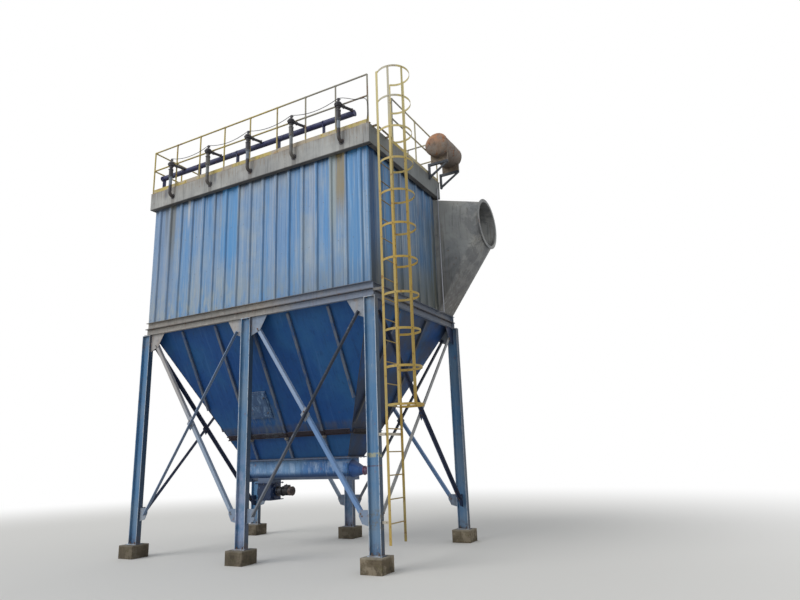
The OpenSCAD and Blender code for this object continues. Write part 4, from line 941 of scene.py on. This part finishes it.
def ribs(axis):
    """How far each rib of a hopper panel lies from the panel's middle."""
    step = 2 * TOP_HALF[axis] / (RIBS[axis] + 1)
    return [(i - (RIBS[axis] - 1) / 2) * step for i in range(RIBS[axis])]


def hopper_details():
    """Weld beads at the hopper's corners, ribs and belt; bolts and shoes of belt, mouth and hatch."""
    skin = 0.008  # thickness of the hopper's plates
    beam_v = (BEAM_LO.z - MOUTH_Z) / SLANT_RISE * SLANT - skin
    b = Build(7)
    for sx in (-1, 1):
        for side, sy in (("front", -1), ("rear", 1)):
            out = Vector((sx * 0.004, sy * 0.002, -0.002))
            b.bead(*(plate_at(side, sx * half_at("x", v), v, 0.004) + out for v in (0.02, beam_v)),
                   0.0085, 0.03)
    for side, axis in HOPPER_SIDES.items():
        low, top = LOW_HALF[axis], TOP_HALF[axis]
        for u in ribs(axis):
            v = max((abs(u) + 0.03 - low) / (top - low) * SLANT, 0.06) + 0.08
            while v < beam_v - 0.07:
                if abs(v + 0.03 - BELT_V) > 0.1:
                    for e in (u - 0.03, u + 0.03):
                        b.bead(plate_at(side, e, v, skin), plate_at(side, e, v + 0.06, skin), 0.005, 0.015)
                v += 0.2
        half = half_at(axis, BELT_V - BELT_HALF) - 0.01
        for v in (BELT_V - BELT_HALF, BELT_V + BELT_HALF):
            b.bead(plate_at(side, -half, v, skin), plate_at(side, half, v, skin), 0.005, 0.025)
    b.make("hopper_welds", "dark_seams", "hopper_paint", 60)

    b = Build(8)
    pitch = 0.18
    for side, axis in HOPPER_SIDES.items():
        count = int(2 * half_at(axis, BELT_V - BELT_HALF) / pitch)
        for i in range(count):
            b.bolt(plate_at(side, (i - (count - 1) / 2) * pitch, BELT_V, 0.033), normal_of(side), 0.014)
    b.make("belt_bolts", "dark_steel", "hopper_paint")

    # Where a rib meets the belt a welded shoe with a round boss ties the two together
    b = Build(9)
    for side, axis in HOPPER_SIDES.items():
        for u in ribs(axis):
            if abs(u) + 0.05 > half_at(axis, BELT_V - 0.1):
                continue
            point, normal = plate_at(side, u, BELT_V - 0.068, 0.03), normal_of(side)
            up = (plate_at(side, u, BELT_V, 0.03) - point).normalized()
            turn = Matrix((up.cross(normal), up, normal)).transposed().to_4x4()
            place = Matrix.Translation(point) @ turn
            b.block(place, (-0.048, -0.045, -0.02), (0.048, 0.018, 0.034), 0.006)
            b.turned(place @ Matrix.Translation((0, -0.014, 0.03)),
                     [(0.03, 0), (0.032, 0.006), (0.032, 0.022), (0.024, 0.032), (0.01, 0.036)], 20)
    b.make("rib_shoes", "rib_shoes", "hopper_paint", 40)

    b = Build(10)
    x0, x1 = MOUTH_X0 - 0.03, MOUTH_X0 + MOUTH_L + 0.03
    y0, y1 = MOUTH_Y0 - 0.03, MOUTH_Y0 + MOUTH_W + 0.03
    holes = [(x0 + 0.02 + i * (x1 - x0 - 0.04) / 15, y) for i in range(16) for y in (y0, y1)]
    holes += [(x, y0 + (i + 1) * (y1 - y0) / 4) for i in range(3) for x in (x0, x1)]
    for x, y in holes:
        b.through((x, y, MOUTH_Z + 0.012), UP, 0.012, 0.024, 0.006)
    b.make("mouth_bolts", "bolts_rusty", "conveyor_paint")

    # Hatch: wing nuts on the latches and screws on the hinge leaves
    b = Build(11)
    for v in (HATCH_V - 0.18, HATCH_V + 0.18):
        place = facing(plate_at("front", HATCH_U + 0.235, v, 0.055), normal_of("front"), 0.7)
        b.turned(place, [(0.013, 0), (0.013, 0.012), (0.009, 0.02)], 14)
        for x in (-0.034, 0.008):
            b.block(place, (x, -0.004, 0.004), (x + 0.026, 0.004, 0.024), 0.002)
        b.turned(place, [(0.006, 0.016), (0.006, 0.034), (0.005, 0.036)], 12)
        for u in (-0.235, -0.2):
            b.bolt(plate_at("front", HATCH_U + u, v, 0.051), normal_of("front"), 0.008)
    b.make("hatch_nuts", "bolts_zinc", "hopper_paint")


def motor_trim(b, zinc, start, y, z, r, gear_l, body_l):
    """Fan grille, ring of screws, eye bolt and cable gland of a motor along +X."""
    end = start + gear_l - 0.001 + body_l
    for k in (0.3, 0.5, 0.7, 0.88):
        b.hoop((end + 0.002, y, z), RIGHT, r * k, 0.0025, 6, 32, 0)
    for dy, dz in circle(8, r, 0):
        b.tube([Vector((end + 0.002, y + dy * k, z + dz * k)) for k in (0.12, 0.9)], 0.0025, 6)
    b.turned(facing((end, y, z), RIGHT), [(r * 0.16, 0), (r * 0.16, 0.004), (r * 0.12, 0.007)], 20)
    b.hoop((end - 0.004, y, z), RIGHT, r * 0.995, 0.005, lump=0)
    for dy, dz in circle(6, r * 1.04):
        zinc.bolt((start + 0.016, y + dy, z + dz), RIGHT, 0.007)
    top = start + gear_l + body_l * 0.2
    zinc.turned(facing((top, y, z + r * 0.93), UP), [(0.012, 0), (0.012, 0.012), (0.008, 0.016)], 14)
    zinc.hoop((top, y, z + r * 0.93 + 0.03), BACK, 0.016, 0.005, 8, 24, 0)


def conveyor_details():
    """Bolts of the trough's ends, bearing and rotary valve, and the trim of both motors."""
    zinc, dark = Build(12), Build(13)
    cy, cz = DEPTH / 2, 1.71  # the screw's axis, which runs between the trough's end plates
    left, right = MOUTH_X0 + 0.036, MOUTH_X0 + MOUTH_L - 0.076
    for z, half in ((0.0, 0.238), (0.13, 0.238), (-0.2, 0.205), (-0.105, 0.232)):
        for dy in (-half, half):
            zinc.bolt((right, cy + dy, cz + z), RIGHT, 0.01)
            zinc.bolt((left, cy + dy, cz + z), LEFT, 0.01)
    bearing = MOUTH_X0 - 0.049
    for dy, dz in circle(4, 0.093):
        zinc.bolt((bearing + 0.065, cy + dy, cz + dz), LEFT, 0.012)
    dark.turned(facing((bearing, cy, cz), LEFT), [(0.045, -0.001), (0.045, 0.012), (0.03, 0.016)], 24)

    sx = MOUTH_X0 + 0.48
    mid = (STAR_LO.z + STAR_HI.z) / 2
    for dx in (-0.212, 0, 0.212):
        for dy in (-0.212, 0, 0.212):
            if dx or dy:
                zinc.through((sx + dx, cy + dy, STAR_HI.z), UP, 0.012, 0.018, 0.006)
    for dy, dz in circle(10, 0.147):
        zinc.bolt((sx + 0.228, cy + dy, mid + dz), RIGHT, 0.009)
        zinc.bolt((sx - 0.228, cy + dy, mid + dz), LEFT, 0.009)
    for dy, dz in circle(4, 0.045):
        zinc.bolt((sx - 0.28, cy + dy, mid + dz), LEFT, 0.007)
    motor_trim(dark, zinc, sx + 0.27, cy, mid, 0.1, 0.15, 0.27)
    motor_trim(dark, zinc, right + 0.299, cy, cz - 0.05, 0.085, 0.11, 0.24)
    # Cable glands under the terminal boxes
    for x, z, r in ((sx + 0.53, mid, 0.1), (right + 0.509, cz - 0.05, 0.085)):
        place = facing((x, cy - r * 0.25, z + r * 1.35), UP)
        dark.turned(place, [(0.014, -0.001), (0.014, 0.008), (0.011, 0.01), (0.011, 0.02),
                            (0.007, 0.024)], 12)
    zinc.make("conveyor_bolts", "bolts_zinc", "conveyor_paint")
    dark.make("motor_grilles", "valves", "valve_paint")


def casing_details():
    """Screws of the sheets, corner flashings, lap joints of the roof band and clamps of the lids."""
    heights = [WALL_LO.z + 0.07, WALL_LO.z + 0.98, WALL_LO.z + 1.9, BAND_LO.z - 0.06]
    screws = Build(14)

    def screw(point, normal, d=0.006):
        place = facing(point, normal, screws.rng.uniform(0, 1))
        screws.turned(place, [(1.35 * d, -0.0008), (1.35 * d, 0.0015), (1.1 * d, 0.0022)], 12)
        screws.turned(place, [(0.75 * d, 0.002), (0.75 * d, 0.0055), (0.6 * d, 0.0065)], 6)

    for i in range(18):
        x = min(max(WALL_LO.x + i * LONG_PITCH, WALL_LO.x + 0.07), WALL_HI.x - 0.07)
        for z in heights:
            screw((x, WALL_LO.y + 0.035, z), FRONT)
            if z < BAND_LO.z - 0.1:
                screw((x, DEPTH + 0.01, z), BACK)
    for i in range(9):
        y = min(max(SIDE_LO.y + i * SIDE_PITCH, 0.06), SIDE_HI.y - 0.07)
        for z in heights:
            screw((LENGTH + 0.01, y, z), RIGHT)
            screw((-0.01, y, z), LEFT)

    # Corner flashings, folded over the sheets' ends
    wide, thick, low = 0.055, 0.0018, WALL_LO.z + 0.012

    def flashing(name, seed, look, slot, places, top):
        b = Build(seed)
        for sx, sy in places:
            x = LENGTH + 0.01 if sx > 0 else -0.01
            y = DEPTH + 0.01 if sy > 0 else -0.01
            out_x, out_y = x + sx * thick, y + sy * thick
            b.slab((x, y - sy * wide, low), (out_x, out_y, top), 0.0006)
            b.slab((x - sx * wide, y, low), (out_x, out_y, top), 0.0006)
            for k in range(9):
                z = low + 0.08 + k * (top - low - 0.16) / 8
                screw((out_x, y - sy * 0.035, z), (sx, 0, 0), 0.005)
                screw((x - sx * 0.035, out_y, z), (0, sy, 0), 0.005)
        b.make(name, look, slot)

    flashing("corner_flashings", 15, "casing_front", "casing_paint", ((-1, -1), (1, -1)), BAND_LO.z + 0.004)
    plenum_eaves = 8.055
    flashing("rear_flashing", 29, "plenum", "plenum_paint", ((-1, 1),), plenum_eaves)

    # Lap joints of the roof band with their rivets
    b = Build(16)
    thick, low, high = 0.0022, BAND_LO.z + 0.001, ROOF_Z - 0.001
    rivets = [BAND_LO.z + 0.04 + k * 0.071 for k in range(6)]
    for x in (2.07, 4.2):
        for m, y in ((-1, BAND_LO.y), (1, BAND_HI.y)):
            b.slab((x - 0.03, y, low), (x + 0.03, y + m * thick, high), 0.0007)
            for z in rivets:
                screw((x, y + m * thick, z), (0, m, 0), 0.005)
    for m, x in ((-1, BAND_LO.x), (1, BAND_HI.x)):
        b.slab((x, 1.5, low), (x + m * thick, 1.56, high), 0.0007)
        for z in rivets:
            screw((x + m * thick, 1.53, z), (m, 0, 0), 0.005)
    b.make("band_laps", "roof", "roof_paint")
    screws.make("sheet_screws", "bolts_zinc", "casing_paint")

    # Hold-down clamps round the chamber lids
    b = Build(17)
    for i in range(5):
        for sx in (-1, 1):
            for y in (0.85, 1.65, 2.45):
                place = facing(((i + 0.5) * CHAMBER + sx * 0.48, y, ROOF_Z + 0.11), UP, 0 if sx > 0 else pi)
                b.block(place, (-0.05, -0.02, -0.001), (0.03, 0.02, 0.008), 0.002)
                b.block(place, (0.016, -0.02, -0.116), (0.03, 0.02, 0.004), 0.002)
                b.bolt(place @ Vector((-0.02, 0, 0.008)), UP, 0.01, 0.012)
    b.make("lid_clamps", "bolts_zinc", "roof_paint")


def roof_details():
    """Bolts, coils, union nuts, hose clips and escutcheons of the valves; clamps of the header."""
    # The valves' upright axis and flange, the header's axis, the drop pipes' bends and the hoses' tops
    y, z = TAP_LO.y + 0.087, TAP_HI.z - 0.145
    pipe_y, pipe_z = (PIPE_LO.y + PIPE_HI.y) / 2, (PIPE_LO.z + PIPE_HI.z) / 2
    bend_z = BAND_LO.z + 0.19
    hose_top = z - 0.1303
    along = Vector((0.26, pipe_y - y, pipe_z - z)).normalized()
    zinc, dark, iron = Build(18), Build(19), Build(20)
    for i in range(5):
        x = (i + 0.5) * CHAMBER + 0.1
        for dx, dy in circle(6, 0.0795):
            zinc.through((x + dx, y + dy, z + 0.008), UP, 0.006, 0.016, 0.004)
        # Coil: fluted body rings and the screwed cable gland beside it
        for dz in (0.09, 0.104, 0.118):
            dark.hoop((x, y, z + dz), UP, 0.0225, 0.0022, 6, 28, 0)
        zinc.turned(facing((x + 0.044, y, z + 0.11), RIGHT),
                    [(0.009, -0.001), (0.009, 0.01), (0.007, 0.012), (0.007, 0.018), (0.004, 0.02)], 6)
        # Union nuts at both ends of the sloping arm
        for d in (0.105, 0.285):
            place = facing(Vector((x, y, z)) + along * d, along)
            dark.turned(place, [(0.036, 0), (0.040, 0.004), (0.040, 0.034), (0.036, 0.038)], 6)
        # Worm-drive clips on the hose and an escutcheon where the pipe enters the band
        for clip_z in (hose_top - 0.018, hose_top - 0.213):
            place = Matrix.Translation((x, y, clip_z)) @ Matrix.Rotation(-2.1 + 0.4 * i, 4, "Z")
            zinc.block(place, (0.053, -0.016, -0.008), (0.066, 0.016, 0.008), 0.002)
            place = place @ Matrix.Translation((0.061, 0.016, 0)) @ Matrix.Rotation(-pi / 2, 4, "X")
            zinc.turned(place, [(0.006, -0.004), (0.006, 0.008), (0.004, 0.009)], 6)
        dark.turned(facing((x, BAND_LO.y, bend_z), FRONT),
                    [(0.068, -0.001), (0.068, 0.004), (0.064, 0.006), (0.04, 0.006)], 32)
        dark.hoop((x, BAND_LO.y - 0.006, bend_z), BACK, 0.039, 0.004)
        for dx, dz in circle(4, 0.054):
            zinc.bolt((x + dx, BAND_LO.y - 0.006, bend_z + dz), FRONT, 0.006)
    # Pipe clamps on the header stands, and the header's end caps
    for i in range(5):
        x = i * CHAMBER + 0.13
        for s in (-0.5, 0.5):
            arc = [s * pi + (k - 6) * pi / 12.6 for k in range(13)]
            iron.skin([[Vector((x + w, pipe_y + r * cos(a), pipe_z + r * sin(a))) for w, r in (
                (-0.015, 0.0626), (0.015, 0.0626), (0.015, 0.0675), (-0.015, 0.0675))] for a in arc])
        for s in (-1, 1):
            place = Matrix.Translation((x, pipe_y + s * 0.078, pipe_z))
            for low in (0.002, -0.008):
                iron.block(place, (-0.015, -0.014, low), (0.015, 0.014, low + 0.006), 0.001)
            zinc.through((x, pipe_y + s * 0.08, pipe_z + 0.008), UP, 0.008, 0.016, 0.006)
        for dx, dy in corners(0.032, 0.032):
            zinc.bolt((x + dx, pipe_y + dy, ROOF_Z + 0.004), UP, 0.008)
    for x, out in ((PIPE_LO.x, LEFT), (PIPE_HI.x, RIGHT)):
        for dy, dz in circle(6, 0.048, 0):
            zinc.bolt((x, pipe_y + dy, pipe_z + dz), out, 0.007)
        zinc.hoop((x - out.x * 0.02, pipe_y, pipe_z), RIGHT, 0.062, 0.002)
    # Straps that tie the cable to the coils' tops
    for i in range(5):
        x = (i + 0.5) * CHAMBER + (0.1 if i else 0.106)
        dark.hoop((x, y, TAP_HI.z + 0.007), RIGHT, 0.009, 0.0022, 6, 20, 0)
    zinc.make("valve_bolts", "bolts_zinc", "valve_paint")
    dark.make("valve_trim", "valves", "valve_paint")
    iron.make("header_clamps", "header", "header_paint")


def rail_details():
    """Weld collars at the rails' joints and foot plates under the posts."""
    r = 0.018  # radius of the rails and posts
    top, mid = RAIL_HI.z - r, ROOF_Z + 0.56 * (RAIL_HI.z - ROOF_Z - r)
    beads, feet = Build(21), Build(22)

    def post(x, y, along, ends):
        for z in (mid, top):
            for s in ends:
                beads.hoop(Vector((x, y, z)) + along * s * r, along, 0.0195, 0.0035, 6, 18)
            beads.hoop((x, y, z - r * 1.05), UP, 0.0195, 0.003, 6, 18)
        beads.hoop((x, y, ROOF_Z + 0.006), UP, 0.0195, 0.0035, 6, 18)
        size = along * 0.052 + Vector((along.y, along.x, 0)) * 0.026
        feet.slab((x - size.x, y - size.y, ROOF_Z - 0.0005), (x + size.x, y + size.y, ROOF_Z + 0.006), 0.001)
        for s in (-1, 1):
            feet.bolt(Vector((x, y, ROOF_Z + 0.006)) + along * s * 0.038, UP, 0.008)

    for name in ("front_handrail", "rear_handrail"):
        lo, hi = spot(name)
        for i in range(9):
            x = lo.x + r + i * (hi.x - lo.x - 2 * r) / 8
            post(x, (lo.y + hi.y) / 2, RIGHT, [s for s in (-1, 1) if 0 <= i + s <= 8])
    for name, posts, spaces in (("left_handrail", (1, 2, 3), 4), ("right_handrail", (0, 1), 2)):
        lo, hi = spot(name)
        for i in posts:
            y = lo.y + r + i * (hi.y - lo.y - 2 * r) / spaces
            post((lo.x + hi.x) / 2, y, BACK, (-1, 1) if i else (1,))
    beads.make("rail_welds", "rails", "rail_paint", 60)
    feet.make("rail_feet", "rails", "rail_paint")


def ladder_details():
    """Weld beads at the rungs and hoops, bolts at the cage straps and the wall ties."""
    beads, bolts = Build(23), Build(24)
    first_rung, rung_pitch, cage_r, rail_half = 0.8, 0.405, 0.35, 0.275
    cx, y0, y1 = (LAD_LO.x + LAD_HI.x) / 2, LAD_LO.y + 0.004, LAD_HI.y - 0.004
    z = first_rung
    while z < ROOF_Z:
        for y in (y0 + 0.004, y1 - 0.004):
            beads.hoop((cx, y, z), BACK, 0.012, 0.0032, 6, 16)
        z += rung_pitch
    centre = Vector((LAD_HI.x + sqrt(cage_r ** 2 - rail_half ** 2), (y0 + y1) / 2, 0.0225))
    for i in range(11):
        z = CAGE_Z + i * (LAD_HI.z - 0.045 - CAGE_Z) / 10
        for turn in (-80, -30, 80):
            out = Vector((cos(radians(turn)), sin(radians(turn)), 0))
            bolts.through(centre + out * cage_r + UP * z, out, 0.008, 0.013, 0.005)
        x = LAD_HI.x - 0.002
        for y in (y0, y1):
            for dz in (0.004, 0.041):
                beads.bead((x, y - 0.004, z + dz), (x, y + 0.004, z + dz), 0.003, 0.004)
    for y, s, z in ((y0, -1, LOW_TIE), (y0, -1, RING_LO.z - 0.025), (y1, 1, RING_LO.z - 0.025),
                    (y0, -1, ROOF_Z - 0.025), (y1, 1, ROOF_Z - 0.025)):
        bolts.bolt((LAD_LO.x - 0.035, y + s * 0.004, z), (0, s, 0), 0.01)
    for s in (-1, 1):
        bolts.bolt((LENGTH + 0.17, s * 0.045, MID_TIE), (0, s, 0), 0.01)
    for y in (0.06, 0.47):
        for z in (MID_TIE, ROOF_Z - 0.025):
            bolts.bolt((LAD_LO.x - 0.008, y, z), LEFT, 0.01)
    beads.make("ladder_welds", "ladder", "ladder_paint", 60)
    bolts.make("cage_bolts", "bolts_rusty", "ladder_paint")


def drum_details():
    """Weld seams round the drum, lifting lugs, an end plug and the bolts of its nozzles and frames."""
    beads, bolts = Build(25), Build(26)
    cx, cz, r = DRUM_LO.x + 0.29, DRUM_HI.z - 0.35, 0.29
    y0, y1 = DRUM_LO.y, DRUM_HI.y
    mid = (y0 + y1) / 2
    for y in (y0 + 0.092, mid, y1 - 0.092):
        beads.hoop((cx, y, cz), BACK, r + 0.0005, 0.0055, 6, 90, 0.15)
    for a, lo, hi in ((2.4, y0 + 0.095, mid), (0.6, mid, y1 - 0.095)):
        x, z = cx + r * cos(a), cz + r * sin(a)
        beads.bead((x, lo, z), (x, hi, z), 0.005)
    for y in (y0 + 0.2, y1 - 0.2):
        beads.block(Matrix.Translation((cx, y, cz + r)), (-0.006, -0.035, -0.008),
                    (0.006, 0.035, 0.045), 0.003)
        beads.hoop((cx, y, cz + r + 0.03), RIGHT, 0.016, 0.006, 8, 24, 0)
    beads.turned(facing((cx, y0 + 0.004, cz), FRONT), [(0.05, -0.012), (0.05, 0.0015), (0.045, 0.0035)], 28)
    # Nozzles: their place along the drum, side, bolt circle, nut height, direction, nut and neck sizes
    for y, s, pcd, z, out, d, neck in ((y0 + 0.76, 1, 0.039, r + 0.048, DOWN, 0.006, 0.029),
                                       (y0 + 0.525, -1, 0.025, -r - 0.038, UP, 0.005, 0.015)):
        for dx, dy in circle(4, pcd):
            bolts.bolt((cx + dx, y + dy, cz + z), out, d)
        beads.hoop((cx, y, cz + s * (r - 0.001)), UP, neck, 0.004, 6, 24)
    for y in (y0 + 0.23, y1 - 0.15):
        for z in (0.11, 0.2, 0.29):
            for s in (-1, 1):
                bolts.bolt((BAND_HI.x + 0.022, y + s * 0.03, ARM_LO.z + z), (0, s, 0), 0.01)
        for s in (-1, 1):
            for x in (cx - 0.17, cx + 0.17):
                bolts.bolt((x, y + s * 0.03, cz - r - 0.065), (0, s, 0), 0.01)
    beads.make("drum_welds", "drum", "drum_paint", 40)
    bolts.make("drum_bolts", "bolts_rusty", "bracket_paint")


def duct_details():
    """Weld seams of the inlet flange and the outlet stub, and the conduit's sleeves."""
    b = Build(27)
    inlet_r, outlet_r = 0.557, 0.457
    lo, hi = spot("inlet_flange")
    b.hoop((lo.x - 0.003, (lo.y + hi.y) / 2, (lo.z + hi.z) / 2), RIGHT, inlet_r, 0.006, 6, 150)
    lo, hi = spot("outlet_stub")
    for y in (lo.y + 0.004, hi.y - 0.019):
        b.hoop(((lo.x + hi.x) / 2, y, (lo.z + hi.z) / 2), BACK, outlet_r, 0.006, 6, 120)
    b.make("duct_welds", "plenum", "plenum_paint", 60)

    b = Build(28)
    cx, cy = COND_HI.x - 0.013, (COND_LO.y + COND_HI.y) / 2
    sleeve = [(0.0128, 0), (0.016, 0.002), (0.016, 0.05), (0.0128, 0.052)]
    for z, profile in ((6.1, sleeve), (7.2, sleeve),
                       (COND_HI.z - 0.03, [(0.0128, 0), (0.0155, 0.002), (0.0155, 0.0295)])):
        b.turned(Matrix.Translation((cx, cy, z)), profile, 20)
    b.make("conduit_sleeves", "conduit", "conduit_zinc")


def floor_look():
    """A pale floor that fades into the white backdrop far from the object."""
    g = Graph("floor")
    g.colour = "d9d7d2"
    g.finish(0.9)
    far = g.math("SQRT", g.x * g.x + g.y * g.y).step(9.0, 26.0)
    glow = g.node("ShaderNodeEmission")
    glow.inputs[0].default_value = (1, 1, 1, 1)
    glow.inputs[1].default_value = 1.0
    mix = g.node("ShaderNodeMixShader")
    g.put(mix.inputs[0], far * Val(g, backdrop_rays(g.nt)))
    for source, socket in ((g.bsdf, mix.inputs[1]), (glow, mix.inputs[2]), (mix, g.out.inputs[0])):
        g.nt.links.new(source.outputs[0], socket)
    return g.mat


dress()
frame_details()
hopper_details()
conveyor_details()
casing_details()
roof_details()
rail_details()
ladder_details()
drum_details()
duct_details()

bpy.context.scene.view_settings.view_transform = "Standard"
add_world(0.62, 1.0)
add_sun("key", (0.42, 0.72, -0.62), 1.35, 40)

floor_mesh = bpy.data.meshes.new("floor")
floor_mesh.from_pydata([(-150, -150, 0), (150, -150, 0), (150, 150, 0), (-150, 150, 0)], [], [(0, 1, 2, 3)])
floor = new_object("floor", floor_mesh)
floor_mesh.materials.append(floor_look())
add_camera()
